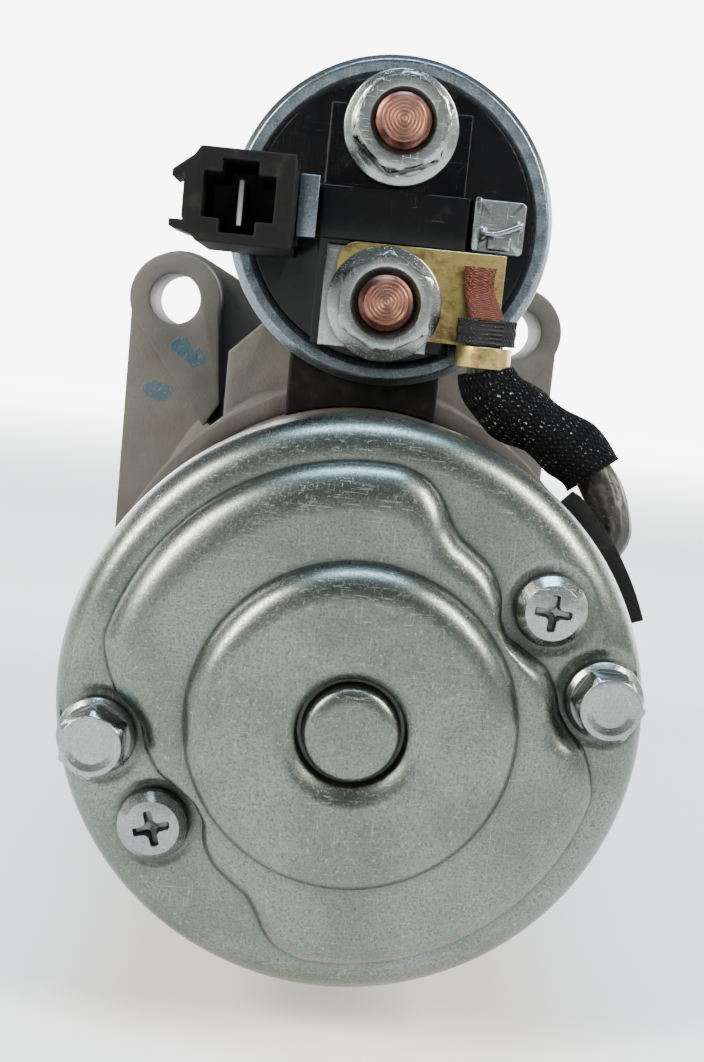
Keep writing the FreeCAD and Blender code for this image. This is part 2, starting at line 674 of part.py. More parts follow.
def front_bracket():
    """Cast drive-end housing with plate, ears, lever tower and nose."""
    plate = plate_outline()
    plate.translate(Vector(0, -PLATE_THICKNESS, 0))
    shapes = [plate.extrude(Vector(0, PLATE_THICKNESS, 0))]
    foot = BRACKET_RADIUS + BRACKET_FILLET
    fillet_y = -PLATE_THICKNESS - BRACKET_FILLET
    shapes.append(cylinder(BRACKET_RADIUS, BRACKET_REAR_Y, 0.0))
    shapes.append(turned([(0, fillet_y), (BRACKET_RADIUS, fillet_y), (foot, -PLATE_THICKNESS),
                          (0, -PLATE_THICKNESS)]))
    shapes.extend(ear_boss(EAR_LEFT_X, 1.0))
    shapes.extend(ear_boss(EAR_RIGHT_X, -1.0))
    low = BRACKET_RADIUS * 0.5
    shapes.append(lever_housing(SOLENOID_FRONT_Y, HOUSING_FRONT_Y, HOUSING_WIDE, HOUSING_SLIM,
                                low, LEVER_PIVOT_Z + HOUSING_RISE))
    pad_y = SOLENOID_FRONT_Y + HOUSING_WALL
    shapes.append(cylinder(SOLENOID_RADIUS + OVER, SOLENOID_FRONT_Y, pad_y, 0.0, SOLENOID_Z))
    shapes.append(block(-HOUSING_SLIM, HOUSING_SLIM, HOUSING_FRONT_Y - OVER, 0.0, low, EAR_Z))
    shapes.extend(bracket_ribs())
    shapes.append(cylinder(PILOT_RADIUS, 0.0, PILOT_LENGTH))
    nose = NOSE_BORE + NOSE_WALL
    foot = nose + NOSE_FLARE
    tip = nose - NOSE_TAPER
    shapes.append(turned([(0, 0), (foot, 0), (foot, PILOT_LENGTH), (nose, WINDOW_Y1 - 2.0 * NOSE_WALL),
                          (nose, WINDOW_Y1), (tip, NOSE_LENGTH - NOSE_CHAMFER),
                          (tip - NOSE_CHAMFER, NOSE_LENGTH), (0, NOSE_LENGTH)]))
    body = fuse(shapes)

    inside = [
        cylinder(YOKE_RADIUS + SEAT, BRACKET_REAR_Y - OVER, GEAR_CASE_Y),
        cylinder(RING_GEAR_RADIUS + SEAT, GEAR_CASE_Y - OVER, SHOULDER_Y),
        cylinder(CAVITY_RADIUS, SHOULDER_Y - OVER, CAVITY_FRONT_Y),
        cylinder(NOSE_BORE, 0.0, WINDOW_Y1),
        cylinder(SHAFT_RADIUS + BUSH_WALL, 0.0, NOSE_LENGTH - 2.5),
        cylinder(PLUNGER_RADIUS + OVER, SOLENOID_FRONT_Y - OVER, pad_y + OVER, 0.0, SOLENOID_Z),
    ]
    hollow_y1 = HOUSING_FRONT_Y - HOUSING_WALL
    inside.append(lever_housing(pad_y, hollow_y1, HOUSING_WIDE - HOUSING_WALL, HOLLOW_SLIM, 0.0,
                                LEVER_PIVOT_Z + HOUSING_RISE - 2.0))
    inside.append(cylinder(HOLLOW_HEAD, pad_y, hollow_y1, 0.0, SOLENOID_Z))
    reach = 2.0 * NOSE_LENGTH
    inside.append(block(-reach, reach, WINDOW_Y0, WINDOW_Y1, -reach, WINDOW_TOP))
    for x in (EAR_LEFT_X, EAR_RIGHT_X):
        inside.append(cylinder(EAR_HOLE_RADIUS, -EAR_THICKNESS - OVER, 1.0, x, EAR_Z))
    for side in (0.0, 180.0):
        at = clock(BOLT_CIRCLE_RADIUS, BOLT_ANGLE + side, 0.0)
        inside.append(cylinder(BOLT_RADIUS + SEAT, GEAR_CASE_Y - OVER, GEAR_CASE_Y + BOLT_DEPTH,
                               at.x, at.z))
    for x, z in solenoid_screw_places():
        inside.append(cylinder(BOLT_RADIUS + BOLT_GAP, SOLENOID_FRONT_Y - OVER, pad_y + OVER, x, z))
        inside.append(cylinder(CASE_SCREW_HEAD_RADIUS + 2.0 * OPEN_GAP, pad_y, OVER, x, z))
    pin = Part.makeCylinder(PIVOT_PIN_RADIUS + SEAT, 2.0 * HOUSING_WIDE + 2.0,
                            Vector(-HOUSING_WIDE - OVER, LEVER_PIVOT_Y, LEVER_PIVOT_Z), Vector(1, 0, 0))
    inside.append(pin)
    for angle in ring_key_angles():
        inside.append(ring_key(angle, SEAT))
    return body.cut(inside[0].multiFuse(inside[1:]))


def ring_key_angles():
    """The ring gear's three keys stand between the through bolts."""
    return [BOLT_ANGLE + 60.0, BOLT_ANGLE + 120.0, BOLT_ANGLE + 270.0]


def ring_key(angle, gap):
    """Key on the ring gear's rim, or with a gap the slot that takes it."""
    half = RING_KEY + gap
    reach = RING_GEAR_RADIUS + RING_KEY_HEIGHT + gap
    key = block(RING_GEAR_RADIUS - RING_KEY_HEIGHT, reach, GEAR_CASE_Y,
                GEAR_CASE_Y + RING_KEY_LENGTH + gap, -half, half)
    return around(key, angle)


def nose_bush():
    """Front bush of the output shaft."""
    outer = SHAFT_RADIUS + BUSH_WALL - SEAT
    return tube(outer, SHAFT_RADIUS + RUNNING, WINDOW_Y1 + OVER, NOSE_LENGTH - NOSE_CHAMFER)


# ---------------------------------------------------------------- reduction gear
def ring_gear():
    """Internal ring gear with a plain skirt in front and three keys."""
    blank = cylinder(RING_GEAR_RADIUS, GEAR_CASE_Y, RING_FRONT_Y)
    keys = [ring_key(angle, 0.0) for angle in ring_key_angles()]
    pitch = MODULE * RING_TEETH / 2.0
    tip = pitch + GEAR_DEDENDUM * MODULE
    root = pitch - RING_ADDENDUM * MODULE
    space = gear(RING_TEETH, MODULE, tip, root, -GEAR_BACKLASH, RING_TOOTH_LENGTH + OVER,
                 GEAR_CASE_Y - OVER, ring_space_phase())
    skirt = cylinder(tip + HOLE_GAP, GEAR_CASE_Y + RING_TOOTH_LENGTH, RING_FRONT_Y + OVER)
    return fuse([blank] + keys).cut(space).cut(skirt)


def ring_space_phase():
    """Angle of a space of the ring, so that every planet meshes at rest."""
    half_tooth = math.pi / RING_TEETH
    tooth = half_tooth if PLANET_TEETH % 2 else 0.0
    return tooth + half_tooth


def planet_angles():
    """Directions of the planets, by the right-hand rule about +Y."""
    return [2.0 * math.pi * i / PLANETS for i in range(PLANETS)]


def planet_phase(angle):
    """Tooth angle of a planet whose spaces meet the sun's teeth."""
    return angle + math.pi - math.pi / PLANET_TEETH + angle * SUN_TEETH / PLANET_TEETH


def planet_gear(angle):
    """Planet with its plain bore."""
    pitch = MODULE * PLANET_TEETH / 2.0
    body = gear(PLANET_TEETH, MODULE, pitch + GEAR_ADDENDUM * MODULE, pitch - GEAR_DEDENDUM * MODULE,
                GEAR_BACKLASH, GEAR_WIDTH, PLANET_REAR_Y, planet_phase(angle))
    body = body.cut(cylinder(PLANET_PIN_RADIUS + RUNNING, PLANET_REAR_Y - OVER,
                             PLANET_REAR_Y + GEAR_WIDTH + OVER))
    body.translate(gear_point(CENTRE_DISTANCE, angle))
    return body


def planet_pins():
    """Three pins pressed in the carrier."""
    pins = []
    for angle in planet_angles():
        at = gear_point(CENTRE_DISTANCE, angle)
        pins.append(cylinder(PLANET_PIN_RADIUS, PLANET_REAR_Y - BOBBIN_GAP, CARRIER_Y + CARRIER_THICKNESS,
                             at.x, at.z))
    return Part.makeCompound(pins)


def centre_bracket():
    """Disc that carries the output shaft's rear bush."""
    return tube(RING_GEAR_RADIUS, CENTRE_BUSH_RADIUS + SEAT, RING_FRONT_Y, SHOULDER_Y)


def centre_bush():
    """Bush of the output shaft's rear journal."""
    return tube(CENTRE_BUSH_RADIUS, JOURNAL_RADIUS + RUNNING, RING_FRONT_Y, SHOULDER_Y + OVER)


def motor_plate():
    """Steel disc between motor and gear case."""
    plate = tube(YOKE_RADIUS, SHAFT_REAR_RADIUS + 6.0, YOKE_FRONT_Y, GEAR_CASE_Y)
    holes = []
    for side in (0.0, 180.0):
        at = clock(BOLT_CIRCLE_RADIUS, BOLT_ANGLE + side, 0.0)
        holes.append(cylinder(BOLT_RADIUS + BOLT_GAP, YOKE_FRONT_Y - OVER, GEAR_CASE_Y + OVER, at.x, at.z))
    return plate.cut(Part.makeCompound(holes))


# ---------------------------------------------------------------- motor
def lead_bore(radius, start, end):
    """Radial round bore at the lead's entry."""
    inner = clock(start, LEAD_ENTRY_ANGLE, LEAD_ENTRY_Y)
    outward = clock(1.0, LEAD_ENTRY_ANGLE, 0.0)
    return Part.makeCylinder(radius, end - start, inner, outward)


def yoke():
    """Steel tube of the motor with the lead's entry hole."""
    body = tube(YOKE_RADIUS, YOKE_RADIUS - YOKE_WALL, YOKE_REAR_Y, YOKE_FRONT_Y)
    reach = 2.0 * YOKE_WALL
    return body.cut(lead_bore(LEAD_RADIUS + BOLT_GAP, YOKE_RADIUS - reach, YOKE_RADIUS + reach))


def field_magnets():
    """Four arc magnets, with the through bolts in two of the gaps between them."""
    outer = YOKE_RADIUS - YOKE_WALL - SEAT
    magnets = []
    for i in range(4):
        sector = Part.makeCylinder(outer, MAGNET_FRONT_Y - MAGNET_REAR_Y, Vector(0, MAGNET_REAR_Y, 0),
                                   Vector(0, 1, 0), MAGNET_SPAN)
        sector = sector.cut(cylinder(MAGNET_INNER_RADIUS, MAGNET_REAR_Y - OVER, MAGNET_FRONT_Y + OVER))
        magnets.append(around(sector, BOLT_ANGLE + 45.0 + 90.0 * i - middle_angle(sector)))
    return Part.makeCompound(magnets)


def armature_shaft():
    """Shaft with the sun gear cut on it, journals at both ends."""
    pitch = MODULE * SUN_TEETH / 2.0
    sun = gear(SUN_TEETH, MODULE, pitch + GEAR_ADDENDUM * MODULE, pitch - GEAR_DEDENDUM * MODULE,
               GEAR_BACKLASH, GEAR_WIDTH + 1.5, PLANET_REAR_Y - OVER, 0.0)
    shapes = [
        cylinder(SHAFT_REAR_RADIUS, BUTTON_Y + SHEET + OVER, COMMUTATOR_REAR_Y),
        cylinder(SHAFT_BODY_RADIUS, COMMUTATOR_REAR_Y - 3.0, PLANET_REAR_Y - 0.5),
        sun,
        cylinder(SHAFT_REAR_RADIUS, PLANET_REAR_Y, CARRIER_Y + 9.0),
    ]
    return fuse(shapes)


def armature_core():
    """Laminated core with open slots for the windings."""
    core = tube(ARMATURE_RADIUS, SHAFT_BODY_RADIUS + SEAT, CORE_REAR, CORE_FRONT)
    slots = []
    for i in range(ARMATURE_SLOTS):
        mouth = block(SLOT_FLOOR, ARMATURE_RADIUS + OVER, CORE_REAR - OVER, CORE_FRONT + OVER,
                      -SLOT_HALF, SLOT_HALF)
        slots.append(around(mouth, 360.0 * i / ARMATURE_SLOTS))
    return core.cut(Part.makeCompound(slots))


def armature_windings():
    """Copper bars in the slots, joined by a ring of coil ends at each side."""
    inner = SLOT_FLOOR - 1.5
    outer = ARMATURE_RADIUS - WINDING_STEP
    half = SLOT_HALF - 2.0 * SEAT
    rear = tube(outer, inner, COMMUTATOR_FRONT_Y + OPEN_GAP, CORE_REAR)
    front = tube(outer, inner, CORE_FRONT, CORE_FRONT + WINDING_END)
    bars = []
    for i in range(ARMATURE_SLOTS):
        bar = block(SLOT_FLOOR + 2.0 * SEAT, outer, CORE_REAR - OVER, CORE_FRONT + OVER, -half, half)
        bars.append(around(bar, 360.0 * i / ARMATURE_SLOTS))
    return fuse([rear, front] + bars)


def commutator():
    """Ring of copper bars with a slit between each two."""
    body = tube(COMMUTATOR_RADIUS, SHAFT_BODY_RADIUS + SEAT, COMMUTATOR_REAR_Y, COMMUTATOR_FRONT_Y)
    slits = []
    for i in range(COMMUTATOR_BARS):
        slit = block(COMMUTATOR_RADIUS - SLIT_DEPTH, COMMUTATOR_RADIUS + OVER, COMMUTATOR_REAR_Y - OVER,
                     COMMUTATOR_FRONT_Y + OVER, -SLIT_HALF, SLIT_HALF)
        slits.append(around(slit, 360.0 * (i + 0.5) / COMMUTATOR_BARS))
    return body.cut(Part.makeCompound(slits))


# ---------------------------------------------------------------- brushes
def brush(angle):
    """Carbon brush with its end hollowed to the commutator."""
    half = BRUSH_WIDTH / 2.0
    body = block(BRUSH_TOUCH - 2.0, BRUSH_TOUCH + BRUSH_RADIAL, BRUSH_Y - BRUSH_LENGTH_Y / 2.0,
                 BRUSH_Y + BRUSH_LENGTH_Y / 2.0, -half, half)
    body = body.cut(cylinder(BRUSH_TOUCH, BRUSH_Y - 10.0, BRUSH_Y + 10.0))
    return around(body, angle)


def brush_cages():
    """Four folded brass guides on the brush plate, each closed at its outer end."""
    gap = OPEN_GAP / 2.0
    half = BRUSH_WIDTH / 2.0 + gap
    deep = BRUSH_LENGTH_Y / 2.0 + gap
    rear = BRUSH_PLATE_Y + BRUSH_PLATE
    cages = []
    for i in range(4):
        outer = block(CAGE_INNER_R, CAGE_OUTER_R, rear, BRUSH_Y + deep + CAGE_WALL,
                      -half - CAGE_WALL, half + CAGE_WALL)
        hollow = block(CAGE_INNER_R - OVER, CAGE_OUTER_R - CAGE_WALL, BRUSH_Y - deep, BRUSH_Y + deep,
                       -half, half)
        cages.append(around(outer.cut(hollow), 90.0 * i))
    return Part.makeCompound(cages)


def brush_springs():
    """Coil springs that press the brushes on the commutator."""
    start = BRUSH_TOUCH + BRUSH_RADIAL + BRUSH_WIRE_GAP
    end = CAGE_OUTER_R - CAGE_WALL - BRUSH_WIRE_GAP
    springs = []
    for i in range(4):
        coil = coil_spring(BRUSH_SPRING_RADIUS, BRUSH_SPRING_WIRE, end - start, BRUSH_SPRING_TURNS,
                           Vector(start, BRUSH_Y, 0.0), Vector(1, 0, 0))
        springs.append(around(coil, 90.0 * i))
    return Part.makeCompound(springs)


def brush_plate():
    """Insulated steel disc that carries the brush guides."""
    rear = BRUSH_PLATE_Y
    front = BRUSH_PLATE_Y + BRUSH_PLATE
    radius = YOKE_RADIUS - YOKE_WALL - OPEN_GAP
    plate = tube(radius, COMMUTATOR_RADIUS + OVER, rear, front)
    holes = []
    for side in (0.0, 180.0):
        bolt = clock(BOLT_CIRCLE_RADIUS, BOLT_ANGLE + side, 0.0)
        holes.append(cylinder(BOLT_RADIUS + BOLT_GAP, rear - OVER, front + OVER, bolt.x, bolt.z))
    body = plate.cut(Part.makeCompound(holes))
    for side in (0.0, 180.0):
        at = clock(SCREW_CIRCLE_RADIUS, SCREW_ANGLE + side, 0.0)
        boss = tube(SCREW_RADIUS + SCREW_BOSS_WALL, SCREW_RADIUS + SEAT, COVER_INSIDE_Y, front, at.x, at.z)
        body = body.cut(cylinder(SCREW_RADIUS + SEAT, rear - OVER, front + OVER, at.x, at.z)).fuse(boss)
    return body.removeSplitter()


# ---------------------------------------------------------------- end cover
def plateau_face(y, inset):
    """Raised outline: two lobes of one radius joined by waists round the fasteners."""
    lobe = LOBE_RADIUS - inset
    size = lobe / WAIST_SCALE
    waist = [(x * size, z * size) for x, z in WAIST]
    first = clock(lobe, -13.0, y)
    last = clock(lobe, 84.0, y)
    edges = []
    for turn in (1.0, -1.0):
        points = [Vector(turn * first.x, y, turn * first.z)]
        points += [Vector(turn * x, y, turn * z) for x, z in waist]
        points.append(Vector(turn * last.x, y, turn * last.z))
        curve = Part.BSplineCurve()
        curve.interpolate(points)
        edges.append(curve.toShape())
        middle = clock(lobe, 125.0 if turn > 0 else 305.0, y)
        after = clock(lobe, 167.0 if turn > 0 else 347.0, y)
        edges.append(Part.Arc(points[-1], middle, after).toShape())
    return Part.Face(Part.Wire(Part.__sortEdges__(edges)))


def cover_solid(inset):
    """Outside of the cover, or with the sheet as inset the hollow inside it."""
    radius = COVER_RADIUS - inset
    rear = COVER_FLANGE_Y + inset
    corner = COVER_CORNER - inset
    cup = cylinder(radius, rear, COVER_SKIRT_Y)
    cup = soften(cup, corner, lambda edge: circle_edge(edge, radius, rear))
    plateau = plateau_face(rear + OVER, inset).extrude(Vector(0, -PLATEAU_HEIGHT - OVER, 0))
    slope = DOME_BASE_RADIUS - DOME_TOP_RADIUS
    base = DOME_BASE_RADIUS - inset
    dome_rear = DOME_Y + inset
    dome = turned([(0, rear), (base, rear), (base, PLATEAU_Y + inset), (base - slope, dome_rear),
                   (0, dome_rear)])
    groove = tube(GROOVE_RADIUS + inset, BUTTON_RADIUS - inset, dome_rear - OVER, dome_rear + GROOVE_DEPTH)
    button = cylinder(BUTTON_RADIUS - inset, BUTTON_Y + inset, rear)
    return fuse([cup, plateau]).fuse(dome).cut(groove).fuse(button)


def end_cover():
    """Pressed steel cover with the rear bearing cup at its centre."""
    outside = cover_solid(0.0)
    inside = cover_solid(SHEET)
    body = outside.cut(inside)
    rim = tube(COVER_RADIUS, YOKE_RADIUS + SEAT, COVER_SKIRT_Y - OVER, COVER_SKIRT_Y)
    body = body.fuse(rim)
    for side in (0.0, 180.0):
        bolt = clock(BOLT_CIRCLE_RADIUS, BOLT_ANGLE + side, 0.0)
        body = body.cut(cylinder(BOLT_RADIUS + BOLT_GAP, COVER_FLANGE_Y - DOME_HEIGHT, COVER_INSIDE_Y + OVER,
                                 bolt.x, bolt.z))
        screw = clock(SCREW_CIRCLE_RADIUS, SCREW_ANGLE + side, 0.0)
        body = body.cut(cylinder(SCREW_RADIUS + HOLE_GAP, COVER_FLANGE_Y - DOME_HEIGHT, COVER_INSIDE_Y + OVER,
                                 screw.x, screw.z))
    return body.removeSplitter()


def rear_bush():
    """Bush of the armature shaft in the cover's bearing cup."""
    outer = BUTTON_RADIUS - SHEET - SEAT
    return tube(outer, SHAFT_REAR_RADIUS + RUNNING, BUTTON_Y + SHEET + 0.5, COVER_INSIDE_Y - OVER)


def through_bolts():
    """Two long bolts that clamp cover, yoke and gear case to the bracket."""
    bolts = []
    for side, turn in ((0.0, 30.0), (180.0, 0.0)):
        at = clock(BOLT_CIRCLE_RADIUS, BOLT_ANGLE + side, 0.0)
        seat = COVER_FLANGE_Y
        flange = cylinder(BOLT_FLANGE_RADIUS, seat - BOLT_FLANGE, seat, at.x, at.z)
        flange = soften(flange, 0.6, lambda edge: circle_edge(edge, BOLT_FLANGE_RADIUS, seat - BOLT_FLANGE))
        top = seat - BOLT_FLANGE - BOLT_HEAD
        head = hexagon(BOLT_FLATS, top, seat - 0.2, at.x, at.z, turn)
        dome = Part.makeCone(BOLT_FLATS / 2.0 - 0.2, BOLT_FLATS / 2.0 + 3.6, 3.8, Vector(at.x, top, at.z),
                             Vector(0, 1, 0))
        dome = dome.fuse(cylinder(BOLT_FLANGE_RADIUS + 4.0, top + 3.0, seat, at.x, at.z))
        shank = cylinder(BOLT_RADIUS, seat - 0.5, GEAR_CASE_Y + BOLT_DEPTH - OVER, at.x, at.z)
        bolts.append(fuse([flange, head.common(dome), shank]))
    return Part.makeCompound(bolts)


def cover_screws():
    """Two cross-recessed pan-head screws into the brush plate."""
    screws = []
    for side, turn in ((0.0, 40.0), (180.0, 20.0)):
        at = clock(SCREW_CIRCLE_RADIUS, SCREW_ANGLE + side, 0.0)
        seat = COVER_FLANGE_Y
        top = seat - SCREW_HEAD
        head = cylinder(SCREW_HEAD_RADIUS, top, seat, at.x, at.z)
        head = soften(head, 1.6, lambda edge: circle_edge(edge, SCREW_HEAD_RADIUS, top))
        shank = cylinder(SCREW_RADIUS, seat - 0.5, BRUSH_PLATE_Y + BRUSH_PLATE + OVER, at.x, at.z)
        arm = block(-RECESS_ARM, RECESS_ARM, top - SEAT, top + RECESS_DEPTH, -RECESS_SLOT, RECESS_SLOT)
        cross = fuse([spin(arm, turn), spin(arm, turn + 90.0)])
        cross.translate(Vector(at.x, 0, at.z))
        screws.append(fuse([head, shank]).cut(cross))
    return Part.makeCompound(screws)


# ---------------------------------------------------------------- output shaft and drive
def output_shaft():
    """Planet carrier flange, rear journal, splined part and pinion journal in one piece."""
    flange = cylinder(CARRIER_RADIUS, CARRIER_Y, CARRIER_Y + CARRIER_THICKNESS)
    journal = cylinder(JOURNAL_RADIUS, CARRIER_Y, SHOULDER_Y + 1.2)
    splined = cylinder(SPLINE_SHAFT_RADIUS - SPLINE_HEIGHT, SHOULDER_Y, SPLINE_END_Y)
    front = cylinder(SHAFT_RADIUS, SPLINE_END_Y - OVER, NOSE_LENGTH - 4.0)
    teeth = []
    for i in range(SPLINE_COUNT):
        tooth = block(0.0, SPLINE_SHAFT_RADIUS, SHOULDER_Y, SPLINE_END_Y, -SPLINE_HALF, SPLINE_HALF)
        teeth.append(around(tooth, 360.0 * i / SPLINE_COUNT))
    body = fuse([flange, journal, splined, front] + teeth)
    holes = [cylinder(PILOT_BORE, CARRIER_Y - OVER, CARRIER_Y + 10.0)]
    for angle in planet_angles():
        at = gear_point(CENTRE_DISTANCE, angle)
        holes.append(cylinder(PLANET_PIN_RADIUS, CARRIER_Y - OVER, CARRIER_Y + CARRIER_THICKNESS + OVER,
                              at.x, at.z))
    groove = tube(SHAFT_RADIUS + OVER, SHAFT_RADIUS - 0.5, STOP_Y + 0.8, STOP_Y + 1.8)
    return body.cut(Part.makeCompound(holes)).cut(groove)


def stop_collar():
    """Ring on the shaft that ends the pinion's travel."""
    ring = tube(SHAFT_RADIUS + STOP_RING_WALL, SHAFT_RADIUS + 0.02, STOP_Y, STOP_Y + STOP_RING)
    lip = tube(SHAFT_RADIUS + OVER, SHAFT_RADIUS - 0.45, STOP_Y + 0.85, STOP_Y + 1.75)
    return ring.fuse(lip).removeSplitter()


def clutch_shell():
    """Overrunning clutch's outer race with its splined sleeve."""
    sleeve_outer = COLLAR_GROOVE_RADIUS - COLLAR_WALL
    rear = COLLAR_Y - COLLAR_GROOVE / 2.0 - COLLAR_DISC - 0.6
    body = fuse([
        cylinder(CLUTCH_RADIUS, CLUTCH_REAR_Y, CLUTCH_FRONT_Y),
        cylinder(sleeve_outer, rear, CLUTCH_REAR_Y + OVER),
    ])
    body = soften(body, 1.5, lambda edge: circle_edge(edge, CLUTCH_RADIUS, CLUTCH_FRONT_Y))
    inner_y0 = CLUTCH_REAR_Y + CLUTCH_WALL
    inner_y1 = CLUTCH_FRONT_Y - CLUTCH_WALL
    race = INNER_RACE_RADIUS + 2.0 * ROLLER_RADIUS + 0.15
    body = body.cut(cylinder(race, inner_y0, inner_y1))
    body = body.cut(cylinder(PINION_NECK_RADIUS + OPEN_GAP, inner_y1 - OVER, CLUTCH_FRONT_Y + OVER))
    half = SPLINE_HALF + SPLINE_GAP
    bore = [cylinder(SPLINE_SHAFT_RADIUS - SPLINE_HEIGHT + SPLINE_GAP, rear - OVER, inner_y0 + OVER)]
    for i in range(SPLINE_COUNT):
        tooth = block(0.0, SPLINE_SHAFT_RADIUS + SPLINE_GAP, rear - OVER, inner_y0 + OVER, -half, half)
        bore.append(around(tooth, 360.0 * i / SPLINE_COUNT))
    return body.cut(fuse(bore))


def shift_collar():
    """Grooved ring that the lever's fork moves."""
    sleeve = COLLAR_GROOVE_RADIUS - COLLAR_WALL + SEAT
    half = COLLAR_GROOVE / 2.0
    y0 = COLLAR_Y - half - COLLAR_DISC
    y1 = COLLAR_Y + half + COLLAR_DISC
    ring = tube(COLLAR_RADIUS, sleeve, y0, y1)
    return ring.cut(tube(COLLAR_RADIUS + OVER, COLLAR_GROOVE_RADIUS, COLLAR_Y - half, COLLAR_Y + half))


def clutch_rollers():
    """Rollers between the clutch's two races."""
    inner_y0 = CLUTCH_REAR_Y + CLUTCH_WALL + 0.8
    inner_y1 = CLUTCH_FRONT_Y - CLUTCH_WALL - 0.8
    circle = INNER_RACE_RADIUS + ROLLER_RADIUS + ROLLER_GAP
    rollers = []
    for i in range(ROLLERS):
        at = clock(circle, 90.0 + 360.0 * i / ROLLERS, 0.0)
        rollers.append(cylinder(ROLLER_RADIUS, inner_y0, inner_y1, at.x, at.z))
    return Part.makeCompound(rollers)


def pinion():
    """Toothed pinion with the clutch's inner race on its sleeve."""
    pitch = PINION_MODULE * PINION_TEETH / 2.0
    tip = pitch + PINION_MODULE
    root = pitch - PINION_DEDENDUM * PINION_MODULE
    rear = PINION_REST_Y - PINION_LENGTH
    teeth = gear(PINION_TEETH, PINION_MODULE, tip, root, PINION_BACKLASH, PINION_LENGTH, rear, 0.0)
    cone_y = PINION_REST_Y - PINION_LEAD_IN
    wide = tip + PINION_LEAD_IN - 2.0
    lead_in = Part.makeCone(wide, tip - 2.0, PINION_LEAD_IN, Vector(0, cone_y, 0), Vector(0, 1, 0))
    teeth = teeth.common(lead_in.fuse(cylinder(wide, rear - OVER, cone_y)))
    race_y0 = CLUTCH_REAR_Y + CLUTCH_WALL + 0.4
    race_y1 = CLUTCH_FRONT_Y - CLUTCH_WALL - 0.4
    race = cylinder(INNER_RACE_RADIUS, race_y0, race_y1)
    neck = cylinder(PINION_NECK_RADIUS, race_y1 - OVER, rear + OVER)
    body = fuse([teeth, race, neck])
    return body.cut(cylinder(SHAFT_RADIUS + RUNNING, race_y0 - OVER, PINION_REST_Y + OVER))


def shift_lever():
    """Forked lever, drawn upright and then leaned back to its rest angle."""
    half = LEVER_WIDTH / 2.0
    pin_y = LEVER_PIVOT_Y
    pin_z = LEVER_PIVOT_Z
    leg_inner = COLLAR_RADIUS + FORK_GAP
    leg_outer = leg_inner + LEVER_LEG
    foot_z = pin_z - LEVER_LOWER_ARM
    hub = Part.makeCylinder(PIVOT_PIN_RADIUS + LEVER_HUB_WALL, 2.0 * leg_outer,
                            Vector(-leg_outer, pin_y, pin_z), Vector(1, 0, 0))
    shapes = [hub]
    for side in (-1.0, 1.0):
        x0, x1 = sorted((side * leg_inner, side * leg_outer))
        shapes.append(block(x0, x1, pin_y - half, pin_y + half, foot_z, pin_z))
        shapes.append(Part.makeCylinder(half, LEVER_LEG, Vector(x0, pin_y, foot_z), Vector(1, 0, 0)))
        shoe_in = COLLAR_GROOVE_RADIUS + 2.0 * FORK_GAP
        s0 = min(side * shoe_in, side * (leg_outer - 0.5))
        shapes.append(Part.makeCylinder(half - 0.4, leg_outer - 0.5 - shoe_in, Vector(s0, pin_y, foot_z),
                                        Vector(1, 0, 0)))
    top_z = pin_z + UPPER_ARM
    finger = LEVER_FINGER
    wide = finger + LEVER_SHOULDER
    y0 = pin_y - LEVER_WEB
    y1 = pin_y + LEVER_WEB
    shapes.append(block(-finger, finger, y0, y1, pin_z, top_z))
    shapes.append(Part.makeCylinder(half, 2.0 * finger, Vector(-finger, pin_y, top_z), Vector(1, 0, 0)))
    shapes.append(block(-wide, wide, y0, y1, pin_z, pin_z + LEVER_SHOULDER_HEIGHT))
    body = fuse(shapes)
    bore = Part.makeCylinder(PIVOT_PIN_RADIUS + RUNNING, 4.0 * leg_outer,
                             Vector(-2.0 * leg_outer, pin_y, pin_z), Vector(1, 0, 0))
    body = body.cut(bore)
    body.rotate(Vector(0, pin_y, pin_z), Vector(1, 0, 0), -LEVER_TILT)
    return body


def lever_pivot_pin():
    """Headed pin through the bracket's tower."""
    reach = HOUSING_WIDE
    pin = Part.makeCylinder(PIVOT_PIN_RADIUS, 2.0 * reach, Vector(-reach, LEVER_PIVOT_Y, LEVER_PIVOT_Z),
                            Vector(1, 0, 0))
    head = Part.makeCylinder(PIVOT_PIN_RADIUS + PIVOT_HEAD, PIVOT_HEAD_LENGTH,
                             Vector(reach, LEVER_PIVOT_Y, LEVER_PIVOT_Z), Vector(1, 0, 0))
    return fuse([pin, head])


# ---------------------------------------------------------------- solenoid
def solenoid_case():
    """Steel can with a thick front plate and its rear edge rolled over the cap."""
    z = SOLENOID_Z
    can = tube(SOLENOID_RADIUS, SOLENOID_RADIUS - SOLENOID_WALL, SOLENOID_REAR_Y, SOLENOID_FRONT_Y, 0.0, z)
    outer_edge = SOLENOID_RADIUS
    can = soften(can, 1.2, lambda edge: circle_edge(edge, outer_edge, SOLENOID_REAR_Y))
    front = tube(SOLENOID_RADIUS - 0.5, PLUNGER_RADIUS + RUNNING, SOLENOID_FRONT_Y - CASE_FRONT,
                 SOLENOID_FRONT_Y, 0.0, z)
    lip = tube(SOLENOID_RADIUS - 1.5, CAP_RADIUS + SEAT, SOLENOID_REAR_Y, SOLENOID_REAR_Y + CASE_LIP, 0.0, z)
    body = fuse([can, front, lip])
    hole_y0 = SOLENOID_FRONT_Y - CASE_FRONT - OVER
    holes = [cylinder(BOLT_RADIUS + SEAT, hole_y0, SOLENOID_FRONT_Y + OVER, x, hz)
             for x, hz in solenoid_screw_places()]
    return body.cut(Part.makeCompound(holes))


